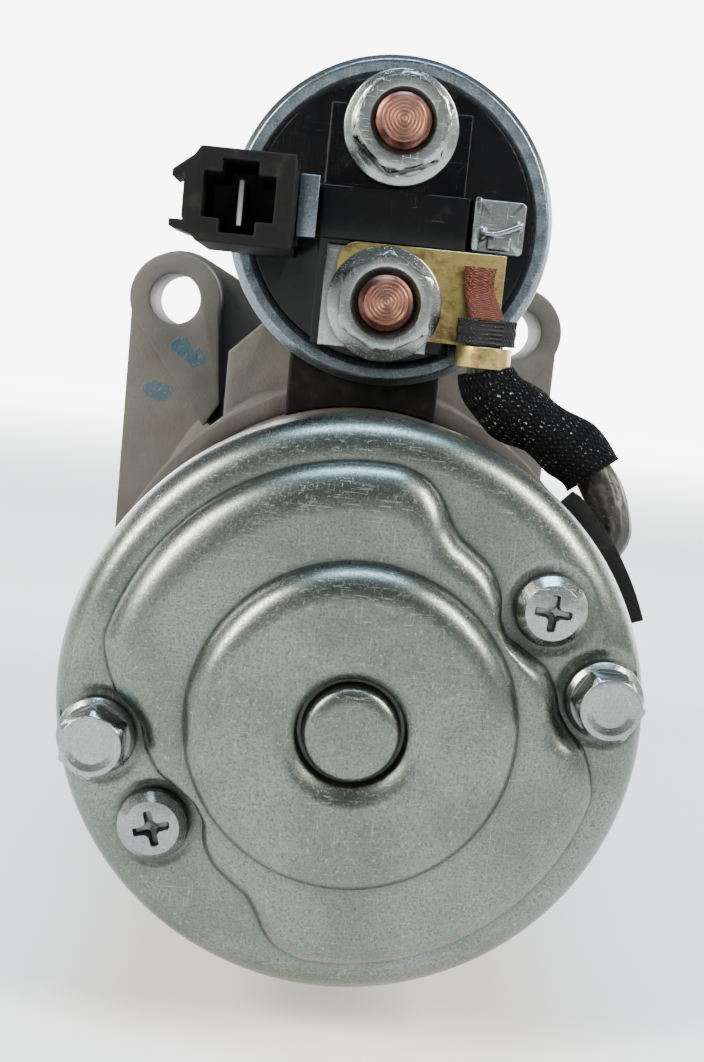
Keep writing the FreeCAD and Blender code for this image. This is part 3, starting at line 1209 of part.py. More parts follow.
def solenoid_screws():
    """Three screws from the front through the bracket into the solenoid."""
    pad_y = SOLENOID_FRONT_Y + HOUSING_WALL
    screws = []
    for x, z in solenoid_screw_places():
        top = pad_y + CASE_SCREW_HEAD
        head = cylinder(CASE_SCREW_HEAD_RADIUS, pad_y, top, x, z)
        head = soften(head, 1.2, lambda edge: circle_edge(edge, CASE_SCREW_HEAD_RADIUS, top))
        shank = cylinder(BOLT_RADIUS, SOLENOID_FRONT_Y - CASE_FRONT + 0.5, pad_y + 0.5, x, z)
        socket = hexagon(CASE_SCREW_FLATS, top - CASE_SCREW_SOCKET, top + OVER, x, z, 0.0)
        screws.append(fuse([head, shank]).cut(socket))
    return Part.makeCompound(screws)


def coil_bobbin():
    """Nylon bobbin between the fixed core and the case's front plate."""
    z = SOLENOID_Z
    rear = CORE_REAR_Y + CORE_DISC
    front = SOLENOID_FRONT_Y - CASE_FRONT
    bore = PLUNGER_RADIUS + BOBBIN_GAP
    flange = SOLENOID_RADIUS - SOLENOID_WALL - OPEN_GAP
    barrel = tube(bore + BOBBIN_WALL, bore, rear, front, 0.0, z)
    rear_flange = tube(flange, bore, rear, rear + BOBBIN_FLANGE, 0.0, z)
    front_flange = tube(flange, bore, front - BOBBIN_FLANGE, front, 0.0, z)
    return fuse([barrel, rear_flange, front_flange])


def solenoid_coil():
    """Winding on the bobbin."""
    rear = CORE_REAR_Y + CORE_DISC + BOBBIN_FLANGE
    front = SOLENOID_FRONT_Y - CASE_FRONT - BOBBIN_FLANGE
    outer = SOLENOID_RADIUS - SOLENOID_WALL - BOBBIN_WALL
    inner = PLUNGER_RADIUS + BOBBIN_GAP + BOBBIN_WALL + SEAT
    return tube(outer, inner, rear, front, 0.0, SOLENOID_Z)


def fixed_core():
    """Steel pole piece that the plunger closes on, bored for the contact rod."""
    z = SOLENOID_Z
    disc = cylinder(SOLENOID_RADIUS - SOLENOID_WALL - SEAT, CORE_REAR_Y, CORE_REAR_Y + CORE_DISC, 0.0, z)
    boss = cylinder(PLUNGER_RADIUS, CORE_REAR_Y, CORE_BOSS_Y, 0.0, z)
    bore = cylinder(ROD_RADIUS + RUNNING, CORE_REAR_Y - OVER, CORE_BOSS_Y + OVER, 0.0, z)
    return fuse([disc, boss]).cut(bore)


def contact_bridge():
    """Copper contact disc on the rod that the plunger pushes."""
    z = SOLENOID_Z
    y0 = CONTACT_Y + CONTACT_GAP
    disc = cylinder(CONTACT_RADIUS, y0, y0 + CONTACT_DISC, 0.0, z)
    rod_front = CORE_BOSS_Y + 0.1 + CONTACT_TRAVEL
    rod = cylinder(ROD_RADIUS, y0 - 1.2, rod_front, 0.0, z)
    nut = cylinder(ROD_RADIUS + 1.6, y0 - OVER, y0 + CONTACT_DISC + OVER, 0.0, z)
    return fuse([disc, rod, nut])


def plunger():
    """Iron plunger with a slotted hook for the lever's finger."""
    z = SOLENOID_Z
    body = cylinder(PLUNGER_RADIUS, PLUNGER_REAR_Y, PLUNGER_BODY_Y, 0.0, z)
    hook = block(-HOOK_HALF, HOOK_HALF, PLUNGER_BODY_Y - OVER, HOOK_FRONT_Y, z - HOOK_HALF, z + HOOK_HALF)
    half = LEVER_WIDTH / 2.0 + OPEN_GAP
    reach = HOOK_HALF + OVER
    slot = block(-HOOK_SLOT, HOOK_SLOT, HOOK_Y - half, HOOK_Y + half, z - reach, z + reach)
    pocket = cylinder(SPRING_POCKET, PLUNGER_REAR_Y - OVER, PLUNGER_REAR_Y + SPRING_POCKET_DEPTH, 0.0, z)
    return fuse([body, hook]).cut(slot).cut(pocket)


def return_spring():
    """Spring between the fixed core and the bottom of the plunger's pocket."""
    start = CORE_BOSS_Y + WIRE_GAP
    length = PLUNGER_REAR_Y + SPRING_POCKET_DEPTH - WIRE_GAP - start
    return coil_spring(SPRING_POCKET - 1.3, 0.6, length, 7.0, Vector(0, start, SOLENOID_Z), Vector(0, 1, 0))


def solenoid_cap():
    """Moulded cap: a skirt inside the can, a flat face and a raised terminal island."""
    z = SOLENOID_Z
    skirt = SOLENOID_RADIUS - SOLENOID_WALL - 0.15
    body = fuse([
        cylinder(CAP_RADIUS, CAP_FACE_Y, SOLENOID_REAR_Y + 3.0, 0.0, z),
        cylinder(skirt, SOLENOID_REAR_Y + 1.45, CORE_REAR_Y, 0.0, z),
    ])
    root = CAP_FACE_Y + OVER
    island = block(-ISLAND_HALF, ISLAND_HALF, ISLAND_Y, root, z + ISLAND_LOW, z + ISLAND_HIGH)
    bridge = block(BRIDGE_X[0], BRIDGE_X[1], ISLAND_Y - BRIDGE, root, z + BRIDGE_LOW, z + BRIDGE_HIGH)
    body = fuse([body, island, bridge])
    body = body.cut(cylinder(skirt - CAP_SKIRT_WALL, CAP_INSIDE_Y, CORE_REAR_Y + OVER, 0.0, z))
    for stud_z in (B_STUD_Z, M_STUD_Z):
        body = body.cut(cylinder(STUD_RADIUS + SEAT, ISLAND_Y - 3.0, CAP_INSIDE_Y + OVER, 0.0, stud_z))
    return body


def terminal_bolts():
    """Two copper studs, each with a flat head inside the cap."""
    bolts = []
    tips = [(B_STUD_Z, NUT_FACE_Y - NUT_HEIGHT + BOBBIN_GAP - STUD_PROUD),
            (M_STUD_Z, M_NUT_FACE_Y - NUT_HEIGHT - M_STUD_PROUD)]
    for z, tip in tips:
        head = block(-STUD_HEAD_X, STUD_HEAD_X, CAP_INSIDE_Y, CONTACT_Y, z - STUD_HEAD_Z, z + STUD_HEAD_Z)
        shank = cylinder(STUD_RADIUS, tip, CAP_INSIDE_Y + OVER, 0.0, z)
        shank = soften(shank, 0.7, lambda edge: circle_edge(edge, STUD_RADIUS, tip))
        bolts.append(fuse([head, shank]))
    return Part.makeCompound(bolts)


def chamfered_nut(z, face_y, turn):
    """Hexagon nut with its outer corners turned off."""
    top = face_y - NUT_HEIGHT
    body = hexagon(NUT_FLATS, top, face_y, 0.0, z, turn)
    small = NUT_FLATS / 2.0 - HOLE_GAP
    height = NUT_HEIGHT + OVER
    cone = Part.makeCone(small, small + height, height, Vector(0, top, z), Vector(0, 1, 0))
    return body.common(cone)


def b_nut():
    """Flanged nut on the battery terminal."""
    flange = cylinder(NUT_FLANGE_RADIUS, NUT_FACE_Y, ISLAND_Y, 0.0, B_STUD_Z)
    flange = soften(flange, 1.0, lambda edge: circle_edge(edge, NUT_FLANGE_RADIUS, NUT_FACE_Y))
    nut = chamfered_nut(B_STUD_Z, NUT_FACE_Y + 0.4, 20.0)
    body = fuse([flange, nut])
    return body.cut(cylinder(STUD_RADIUS + SEAT, NUT_FACE_Y - 9.0, ISLAND_Y + OVER, 0.0, B_STUD_Z))


def m_plate():
    """Square plate under the motor terminal's lug."""
    body = block(M_PLATE_X[0], M_PLATE_X[1], LUG_Y, ISLAND_Y, SOLENOID_Z + M_PLATE_LOW,
                 SOLENOID_Z + M_PLATE_HIGH)
    return body.cut(cylinder(STUD_RADIUS + HOLE_GAP, LUG_Y - OVER, ISLAND_Y + OVER, 0.0, M_STUD_Z))


def lead_axis(radius, z0, z1):
    """Round bar on the lead's upright start."""
    return Part.makeCylinder(radius, z1 - z0, Vector(LEAD_X, LEAD_Y, z0), Vector(0, 0, 1))


def m_lug():
    """Brass tab from the motor terminal to the crimp barrel round the lead."""
    x0, x1 = LUG_X
    tab = block(x0, x1, LUG_REAR_Y, LUG_Y, SOLENOID_Z + LUG_LOW, SOLENOID_Z + LUG_HIGH)
    short = LUG_THICKNESS + HOLE_GAP
    tab = soften(tab, LUG_CORNER, lambda edge: edge.Length < short and abs(edge.CenterOfMass.x - x0) < SEAT)
    leg = block(LEG_X[0], LEG_X[1], LEAD_Y, LUG_Y, CRIMP_TOP_Z - LEG, CRIMP_TOP_Z + SEAT)
    barrel = lead_axis(LEAD_RADIUS + CRIMP_WALL, CRIMP_FOOT_Z, CRIMP_TOP_Z)
    bore = lead_axis(LEAD_RADIUS + SEAT, CRIMP_FOOT_Z - OVER, WRAP_TOP_Z)
    hole = cylinder(STUD_RADIUS + HOLE_GAP, LUG_REAR_Y - OVER, LUG_Y + OVER, 0.0, M_STUD_Z)
    return fuse([tab, leg, barrel]).cut(bore).cut(hole)


def m_washer():
    """Spring and flat washer stack under the motor terminal's nut."""
    bore = STUD_RADIUS + HOLE_GAP
    middle = LUG_REAR_Y - WASHER_FLAT
    flat = tube(NUT_FLANGE_RADIUS, bore, middle, LUG_REAR_Y, 0.0, M_STUD_Z)
    sprung = tube(NUT_FLANGE_RADIUS - OVER, bore, M_NUT_FACE_Y, middle, 0.0, M_STUD_Z)
    return fuse([flat, sprung])


def m_nut():
    """Hexagon nut on the motor terminal."""
    nut = chamfered_nut(M_STUD_Z, M_NUT_FACE_Y, 30.0)
    bore = cylinder(STUD_RADIUS + SEAT, M_NUT_FACE_Y - 2.0 * NUT_HEIGHT, M_NUT_FACE_Y + OVER, 0.0, M_STUD_Z)
    return nut.cut(bore)


def flat_ring(x_range, y_range, z):
    """Closed rectangle of one level, as the end of a tapered strip."""
    (x0, x1), (y0, y1) = x_range, y_range
    corners = [Vector(x0, y0, z), Vector(x1, y0, z), Vector(x1, y1, z), Vector(x0, y1, z)]
    return Part.makePolygon(corners + [corners[0]])


def braid_end():
    """Flattened copper braid, welded on the tab and leaning out to the crimp."""
    top = SOLENOID_Z + BRAID_TOP
    foot = WRAP_TOP_Z + HOLE_GAP
    outer_y = LUG_REAR_Y - BRAID_THICKNESS
    strip = Part.makeLoft([
        flat_ring(BRAID_TOP_X, (outer_y, LUG_REAR_Y), top - BRAID_WELD),
        flat_ring(BRAID_FOOT_X, (outer_y - BRAID_LEAN, LUG_REAR_Y - BRAID_LEAN), foot),
    ], True, True)
    weld = block(BRAID_TOP_X[0], BRAID_TOP_X[1], outer_y, LUG_REAR_Y, top - BRAID_WELD, top)
    return fuse([strip, weld])


def sleeve_collar():
    """Wrapped black collar round the braid where it meets the crimp."""
    y_rear = LEAD_Y - LEAD_RADIUS - WRAP_WALL
    outer = block(WRAP_X[0], WRAP_X[1], y_rear, LUG_REAR_Y - HOLE_GAP, WRAP_FOOT_Z, WRAP_TOP_Z)
    outer = soften(outer, WRAP_CORNER, lambda edge: abs(edge.Length - WRAP_HEIGHT) < SEAT)
    return outer.cut(lead_axis(LEAD_RADIUS + SEAT, WRAP_FOOT_Z - OVER, WRAP_TOP_Z + OVER))


def s_connector():
    """Open plug housing of the control terminal, with keyed mouth and side flaps."""
    x0, x1, z0, z1 = SHROUD_X0, SHROUD_X1, SHROUD_Z0, SHROUD_Z1
    corner_x = x0 + SHROUD_CORNER_X
    corner_z = SHROUD_CORNER_Z
    outer = prism([(corner_x, z0), (x1, z0), (x1, z1), (corner_x, z1), (x0, z1 - corner_z),
                   (x0, z0 + corner_z)], SHROUD_Y, CAP_FACE_Y - OVER)
    foot = block(FOOT_X, x1 + 0.5, CAP_FACE_Y - BLADE_ROOT, CAP_FACE_Y, z0 + 1.5, z1 - 1.5)
    foot = foot.common(cylinder(CAP_RADIUS - OPEN_GAP, CAP_FACE_Y - CAP_FLOOR, CAP_FACE_Y, 0.0, SOLENOID_Z))
    flap_x = x0 - FLAP_REACH
    flap_y = SHROUD_Y + FLAP_LENGTH
    flap_high = prism([(corner_x, z1 - 2.6), (flap_x, z1 - 4.4), (flap_x, z1 - 3.4), (corner_x, z1 - 0.6)],
                      SHROUD_Y, flap_y)
    flap_low = prism([(corner_x, z0 + 2.6), (flap_x, z0 + 2.6), (flap_x, z0 + 1.6), (corner_x, z0 + 0.6)],
                     SHROUD_Y, flap_y)
    body = fuse([outer, foot, flap_high, flap_low])
    bottom = SHROUD_Y + MOUTH_DEPTH
    mouths = []
    for left, right, wall in (MOUTH_TALL, MOUTH_WIDE):
        mouths.append(block(left, right, SHROUD_Y - OVER, bottom, z0 + wall, z1 - wall))
    blade = block(BLADE_X[0], BLADE_X[1], SHROUD_Y, BLADE_ROOT_Y, BLADE_Z, BLADE_Z + BLADE_HEIGHT)
    return body.cut(fuse(mouths)).cut(blade)


def s_blade():
    """Flat male terminal, 6.3 by 0.8."""
    return block(BLADE_X[0], BLADE_X[1], SHROUD_Y + BLADE_SETBACK, BLADE_ROOT_Y, BLADE_Z,
                 BLADE_Z + BLADE_HEIGHT)


def side_clip():
    """Grey retaining plate beside the plug housing."""
    front = ISLAND_Y - CLIP_FRONT
    plate = block(SHROUD_X1 + 0.1, CLIP_X, front - CLIP_THICKNESS, front, SOLENOID_Z + CLIP_LOW,
                  SOLENOID_Z + CLIP_HIGH)
    stem = block(SHROUD_X1 + 0.5, CLIP_X - 1.1, front - CLIP_THICKNESS / 2.0, ISLAND_Y - BRIDGE,
                 SOLENOID_Z + BRIDGE_LOW + OVER, SOLENOID_Z + BRIDGE_HIGH - OVER)
    return fuse([plate, stem])


def ground_tab():
    """Folded bright tab at the cap's right edge, with the coil's wire soldered to it."""
    x0, x1 = TAB_X
    z0 = SOLENOID_Z + TAB_LOW
    z1 = SOLENOID_Z + TAB_HIGH
    floor = block(x0, x1, CAP_FACE_Y - TAB_SHEET, CAP_FACE_Y, z0, z1)
    wall = block(x0, x0 + TAB_SHEET, CAP_FACE_Y - TAB_WALL, CAP_FACE_Y, z0, z1)
    start = Vector(x0 + TAB_SHEET / 2.0, CAP_FACE_Y - OVER, SOLENOID_Z)
    wire = Part.makeCylinder(TAB_WIRE_RADIUS, TAB_WIRE, start, Vector(1, 0, 0))
    return fuse([floor, wall, wire])


# ---------------------------------------------------------------- lead and rubber
def lead_route():
    """The motor lead, from the crimp barrel over the yoke's shoulder into the grommet."""
    turn = clock(YOKE_RADIUS + LEAD_TURN, LEAD_ENTRY_ANGLE, LEAD_ENTRY_Y)
    inside = clock(YOKE_RADIUS - YOKE_WALL - 2.2, LEAD_ENTRY_ANGLE, LEAD_ENTRY_Y)
    corners = []
    for right, down, back in LEAD_CORNERS:
        corners.append(Vector(LEAD_X + right * (turn.x - LEAD_X), LEAD_Y + back * (LEAD_ENTRY_Y - LEAD_Y),
                              CRIMP_FOOT_Z + down * (turn.z - CRIMP_FOOT_Z)))
    return [Vector(LEAD_X, LEAD_Y, WRAP_TOP_Z - 0.5)] + corners + [turn, inside]


def lead():
    """Stranded motor lead."""
    return round_sweep(lead_route(), LEAD_RADIUS)


def lead_sleeve():
    """Woven sleeve over the middle of the lead."""
    route = lead_route()
    here, last, after = route[4:7]
    along = (last - here).normalize() + (after - last).normalize()
    end = last + (after - last) * 0.1
    outer = round_sweep(route[:7], SLEEVE_RADIUS)
    above = lead_axis(SLEEVE_RADIUS + OVER, CRIMP_FOOT_Z - OPEN_GAP, WRAP_TOP_Z)
    beyond = Part.makeCylinder(2.0 * SLEEVE_RADIUS, 2.0 * SLEEVE_RADIUS, end, along)
    inner = round_sweep(route, LEAD_RADIUS + SEAT)
    return outer.cut(above).cut(beyond).cut(inner)


def grommet():
    """Rubber strip on the yoke with a thicker seat round the lead."""
    y0 = COVER_SKIRT_Y + BOBBIN_GAP
    y1 = LEAD_ENTRY_Y - LEAD_RADIUS - 1.2

    def band(outer, low, high, first, sweep):
        sector = Part.makeCylinder(outer, high - low, Vector(0, low, 0), Vector(0, 1, 0), sweep)
        sector = sector.cut(cylinder(YOKE_RADIUS + SEAT, low - OVER, high + OVER))
        return around(sector, first + sweep / 2.0 - middle_angle(sector))

    strip = band(GROMMET_OUTER, y0, y1 + 0.5, GROMMET_START, GROMMET_SPAN)
    seat = band(YOKE_RADIUS + GROMMET_SEAT, y1, LEAD_ENTRY_Y + LEAD_RADIUS + 3.0,
                LEAD_ENTRY_ANGLE - GROMMET_SEAT_SPAN / 2.0, GROMMET_SEAT_SPAN)
    bore = lead_bore(LEAD_RADIUS + SEAT, YOKE_RADIUS - OVER, GROMMET_OUTER + LEAD_RADIUS)
    return fuse([strip, seat]).cut(bore)


def rubber_seal():
    """Rubber block between the yoke and the solenoid, behind the bracket."""
    rear = BRACKET_REAR_Y - BLOCK_LENGTH
    body = block(BLOCK_X[0], BLOCK_X[1], rear, BRACKET_REAR_Y, YOKE_RADIUS - BLOCK_REACH,
                 YOKE_RADIUS + SOLENOID_RISE + BLOCK_REACH)
    body = body.cut(cylinder(YOKE_RADIUS + SEAT, rear - OVER, BRACKET_REAR_Y + OVER))
    body = body.cut(cylinder(SOLENOID_RADIUS + SEAT, SOLENOID_REAR_Y, SOLENOID_FRONT_Y, 0.0, SOLENOID_Z))
    return min(body.Solids, key=lambda solid: solid.CenterOfMass.z)


# ---------------------------------------------------------------- build
def main():
    nodes = [
        ("front_bracket", front_bracket), ("nose_bush", nose_bush), ("ring_gear", ring_gear),
        ("centre_bracket", centre_bracket), ("centre_bush", centre_bush), ("motor_plate", motor_plate),
        ("yoke", yoke), ("field_magnets", field_magnets), ("end_cover", end_cover),
        ("rear_bush", rear_bush), ("brush_plate", brush_plate), ("brush_cages", brush_cages),
        ("brush_springs", brush_springs), ("through_bolts", through_bolts),
        ("cover_screws", cover_screws), ("solenoid_case", solenoid_case), ("coil_bobbin", coil_bobbin),
        ("solenoid_coil", solenoid_coil), ("fixed_core", fixed_core), ("solenoid_cap", solenoid_cap),
        ("terminal_bolts", terminal_bolts), ("b_nut", b_nut), ("m_nut", m_nut), ("m_washer", m_washer),
        ("m_plate", m_plate), ("m_lug", m_lug), ("braid_end", braid_end),
        ("sleeve_collar", sleeve_collar), ("lead", lead), ("lead_sleeve", lead_sleeve),
        ("grommet", grommet), ("rubber_seal", rubber_seal), ("solenoid_screws", solenoid_screws),
        ("s_connector", s_connector), ("s_blade", s_blade), ("side_clip", side_clip),
        ("ground_tab", ground_tab), ("lever_pivot_pin", lever_pivot_pin),
        ("armature_shaft", armature_shaft), ("armature_core", armature_core),
        ("armature_windings", armature_windings), ("commutator", commutator),
        ("output_shaft", output_shaft), ("planet_pins", planet_pins), ("stop_collar", stop_collar),
        ("clutch_shell", clutch_shell), ("shift_collar", shift_collar),
        ("clutch_rollers", clutch_rollers), ("pinion", pinion), ("shift_lever", shift_lever),
        ("plunger", plunger), ("return_spring", return_spring), ("contact_bridge", contact_bridge),
    ]
    for node, make in nodes:
        write(node, make())
    for i, angle in enumerate(planet_angles()):
        write("planet_gear_%d" % (i + 1), planet_gear(angle))
    for i in range(4):
        write("brush_%d" % (i + 1), brush(90.0 * i))
    print("plunger stroke %.4f, drive travel %.4f, contact travel %.4f"
          % (PLUNGER_STROKE, DRIVE_TRAVEL, CONTACT_TRAVEL))
    print("hook y %.3f, collar y %.3f, upper arm %.3f" % (HOOK_Y, COLLAR_Y, UPPER_ARM))


main()
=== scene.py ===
"""Visible detail of a gear-reduction starter motor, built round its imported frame.

Every size is in millimetres until a mesh is written, and the motor's axis is Y, with the end
cover towards -Y, the pinion nose towards +Y and the solenoid above the motor towards +Z.
"""
import json
import math

import bmesh
import bpy
import numpy as np
from mathutils import Matrix, Vector


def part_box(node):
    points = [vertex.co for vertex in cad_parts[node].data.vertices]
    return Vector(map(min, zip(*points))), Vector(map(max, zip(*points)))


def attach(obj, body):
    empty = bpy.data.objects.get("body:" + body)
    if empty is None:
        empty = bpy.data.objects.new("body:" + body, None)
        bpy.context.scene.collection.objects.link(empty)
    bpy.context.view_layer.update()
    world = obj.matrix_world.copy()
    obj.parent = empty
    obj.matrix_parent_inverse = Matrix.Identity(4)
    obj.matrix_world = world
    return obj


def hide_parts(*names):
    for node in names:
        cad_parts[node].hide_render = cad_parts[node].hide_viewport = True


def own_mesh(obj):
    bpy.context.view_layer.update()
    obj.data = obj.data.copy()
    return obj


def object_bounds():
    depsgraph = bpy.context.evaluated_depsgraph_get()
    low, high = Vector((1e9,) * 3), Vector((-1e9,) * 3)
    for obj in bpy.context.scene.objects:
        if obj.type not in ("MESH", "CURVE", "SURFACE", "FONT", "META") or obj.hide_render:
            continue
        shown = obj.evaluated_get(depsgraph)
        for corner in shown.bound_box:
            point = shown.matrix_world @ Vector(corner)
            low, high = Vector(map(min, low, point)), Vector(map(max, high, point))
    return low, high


bl_info = {
    "name": "Starter motor detail",
    "version": (1, 0, 0),
    "blender": (4, 5, 0),
    "location": "3D View > Sidebar > Starter motor",
    "description": "Pressed, turned, moulded and woven detail for the frame of a starter motor",
    "category": "Add Mesh",
}

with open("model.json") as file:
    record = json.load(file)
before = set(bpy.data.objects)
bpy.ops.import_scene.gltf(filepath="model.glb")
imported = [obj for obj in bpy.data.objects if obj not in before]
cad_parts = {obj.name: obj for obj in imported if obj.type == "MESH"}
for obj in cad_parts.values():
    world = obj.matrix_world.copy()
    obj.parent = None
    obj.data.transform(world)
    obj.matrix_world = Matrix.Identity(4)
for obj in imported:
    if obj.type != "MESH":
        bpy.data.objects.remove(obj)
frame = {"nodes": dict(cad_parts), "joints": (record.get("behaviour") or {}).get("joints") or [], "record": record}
CAD_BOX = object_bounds()
MM = 0.001
TURN = 2.0 * math.pi


# ---------------------------------------------------------------- places from the frame

def span(node):
    """Lowest and highest corner of a CAD node, in millimetres."""
    low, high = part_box(node)
    return np.array(low) / MM, np.array(high) / MM


def halves(node, axis):
    """Boxes of the two groups of points of a node that lie either side of its middle on an axis."""
    mesh = frame["nodes"][node].data
    points = np.zeros(len(mesh.vertices) * 3, np.float32)
    mesh.vertices.foreach_get("co", points)
    points = points.reshape(-1, 3) / MM
    middle = (points[:, axis].min() + points[:, axis].max()) / 2.0
    groups = (points[points[:, axis] < middle], points[points[:, axis] >= middle])
    return [(group.min(0), group.max(0)) for group in groups]


# ---------------------------------------------------------------- shapes on grids

def filleted(corners, steps=6):
    """Polyline through (x, y, radius) corners, each corner replaced by a tangent arc of its radius."""
    points = np.array([corner[:2] for corner in corners], float)
    runs = [points[:1]]
    for before, here, after, corner in zip(points, points[1:], points[2:], corners[1:-1]):
        if corner[2] <= 0.0:
            runs.append(here[None])
            continue
        back, ahead = before - here, after - here
        back_length, ahead_length = np.linalg.norm(back), np.linalg.norm(ahead)
        back, ahead = back / back_length, ahead / ahead_length
        half = 0.5 * math.acos(np.clip(back @ ahead, -1.0, 1.0))
        cut = min(corner[2] / math.tan(half), 0.49 * back_length, 0.49 * ahead_length)
        middle = back + ahead
        centre = here + middle / np.linalg.norm(middle) * cut / math.cos(half)
        sweep = math.pi - 2.0 * half
        share = np.linspace(0.0, 1.0, steps)[:, None]
        start, end = here + back * cut - centre, here + ahead * cut - centre
        arc = np.sin((1.0 - share) * sweep) * start + np.sin(share * sweep) * end
        runs.append(centre + arc / math.sin(sweep))
    runs.append(points[-1:])
    return np.concatenate(runs)


def angles(steps, turn=0.0):
    """Equal steps round a full turn, starting at an angle in degrees."""
    return math.radians(turn) + np.arange(steps) * TURN / steps


def turned(profile, x, z, steps=96):
    """Rings (x + r cos a, y, z + r sin a) for each (r, y) of a profile."""
    around = angles(steps)
    radius, y = profile[:, :1], profile[:, 1:]
    return np.stack([x + radius * np.cos(around), y + 0.0 * around, z + radius * np.sin(around)], -1)


def hexagonal(profile, is_hexagon, x, z, flats, turn, steps=96):
    """Like turned, but where is_hexagon is set a ring's radius is the smaller of r and the hexagon's.

    The hexagon's radius is half the size across flats over the cosine of the angle from the middle
    of a flat, held a little inside the true corner so that the corners are rubbed round.
    """
    around = angles(steps, turn)
    from_flat = (around - math.radians(turn)) % (TURN / 6.0) - TURN / 12.0
    hexagon = np.minimum(flats / 2.0 / np.cos(from_flat), flats / 2.0 / math.cos(TURN / 12.0) * 0.985)
    radius = np.where(is_hexagon[:, None], np.minimum(profile[:, :1], hexagon), profile[:, :1])
    y = profile[:, 1:] + 0.0 * around
    return np.stack([x + radius * np.cos(around), y, z + radius * np.sin(around)], -1)


def slab(outline, y_low, y_high, edge):
    """Rings of a flat plate: an (m, 2) outline in X and Z, its two rims drawn in and rounded by edge."""
    middle = outline.mean(0)
    reach = np.linalg.norm(outline - middle, axis=1, keepdims=True)
    share = np.array([1.0, 0.6, 0.2, 0.0])
    drawn_in = 1.0 - np.sqrt(1.0 - share ** 2)
    inset = np.concatenate([drawn_in, drawn_in[::-1]]) * edge
    depth = np.concatenate([y_low + edge * (1.0 - share), y_high - edge * (1.0 - share[::-1])])
    rings = middle + (outline - middle)[None] * (1.0 - inset[:, None, None] / reach)
    y = np.broadcast_to(depth[:, None], rings.shape[:2])
    return np.stack([rings[..., 0], y, rings[..., 1]], -1)


class Solid:
    """Closed grids gathered into one mesh, each turned so that its faces point outwards."""

    def __init__(self):
        self.points = []
        self.faces = []
        self.lay = []
        self.count = 0

    def _add(self, points, faces, lay):
        """Keeps a closed surface, reversed if its signed volume is negative."""
        corners = [(points[face[:, 0]], points[face[:, k]], points[face[:, k + 1]])
                   for face in faces for k in range(1, face.shape[1] - 1)]
        volume = sum(np.einsum("ij,ij->i", a, np.cross(b, c)).sum() for a, b, c in corners)
        order = -1 if volume < 0.0 else 1
        self.points.append(points)
        self.faces += [(face[:, ::order] + self.count).tolist() for face in faces]
        self.lay += [uv[:, ::order].reshape(-1, 2) for uv in lay]
        self.count += len(points)

    def _walls(self, rows, wrap):
        """Quads of an (n, m, 3) grid closed round m, with each corner's lay: length along, turns round."""
        n, m = rows.shape[:2]
        ring = np.arange(m)
        count = n if wrap else n - 1
        here = np.arange(count)[:, None]
        there = (here + 1) % n
        after = (ring + 1) % m
        quads = np.stack([here * m + ring, here * m + after, there * m + after, there * m + ring], -1)
        steps = np.linalg.norm(np.diff(rows.mean(1), axis=0), axis=1)
        length = np.concatenate([[0.0], np.cumsum(steps), [0.0]])
        along = np.broadcast_to(length[here], (count, m))
        ahead = np.broadcast_to(length[here + 1], (count, m))
        turns = np.broadcast_to(ring / m, (count, m))
        next_turns = turns + 1.0 / m
        lay = np.stack([np.stack([along, turns], -1), np.stack([along, next_turns], -1),
                        np.stack([ahead, next_turns], -1), np.stack([ahead, turns], -1)], 2)
        return quads.reshape(-1, 4), lay.reshape(-1, 4, 2)

    def tube(self, rows):
        """Adds rings joined in a row, with a fan of triangles over the first and the last one."""
        n, m = rows.shape[:2]
        quads, lay = self._walls(rows, False)
        ring = np.arange(m)
        after = (ring + 1) % m
        last = (n - 1) * m
        first_fan = np.stack([after, ring, np.full(m, n * m)], -1)
        last_fan = np.stack([last + ring, last + after, np.full(m, n * m + 1)], -1)
        points = np.concatenate([rows.reshape(-1, 3), rows[:1].mean(1), rows[-1:].mean(1)])
        fan_lay = np.zeros((m, 3, 2))
        self._add(points, [quads, first_fan, last_fan], [lay, fan_lay, fan_lay])
        return self

    def ring(self, rows):
        """Adds rings joined in a row and the last one to the first, such as a washer."""
        quads, lay = self._walls(rows, True)
        self._add(rows.reshape(-1, 3), [quads], [lay])
        return self

    def piece(self, name, body, slot, finish, replaces=(), sharp=30.0):
        """Writes the mesh at its place, gives it its body and its finish, and hides the nodes it stands for."""
        mesh = bpy.data.meshes.new(name)
        faces = [face for group in self.faces for face in group]
        mesh.from_pydata(np.concatenate(self.points) * MM, [], faces)
        lay = mesh.uv_layers.new(name="lay")
        lay.data.foreach_set("uv", np.concatenate(self.lay).ravel())
        mesh.polygons.foreach_set("use_smooth", np.ones(len(faces), bool))
        mesh.set_sharp_from_angle(angle=math.radians(sharp))
        mesh.update()
        if mesh.validate():
            raise RuntimeError(f"the mesh of {name} has a bad face")
        piece = bpy.data.objects.new(name, mesh)
        bpy.context.scene.collection.objects.link(piece)
        mesh.materials.append(finish)
        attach(piece, body)
        if replaces:
            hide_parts(*replaces)
        return piece


# ---------------------------------------------------------------- shader expressions

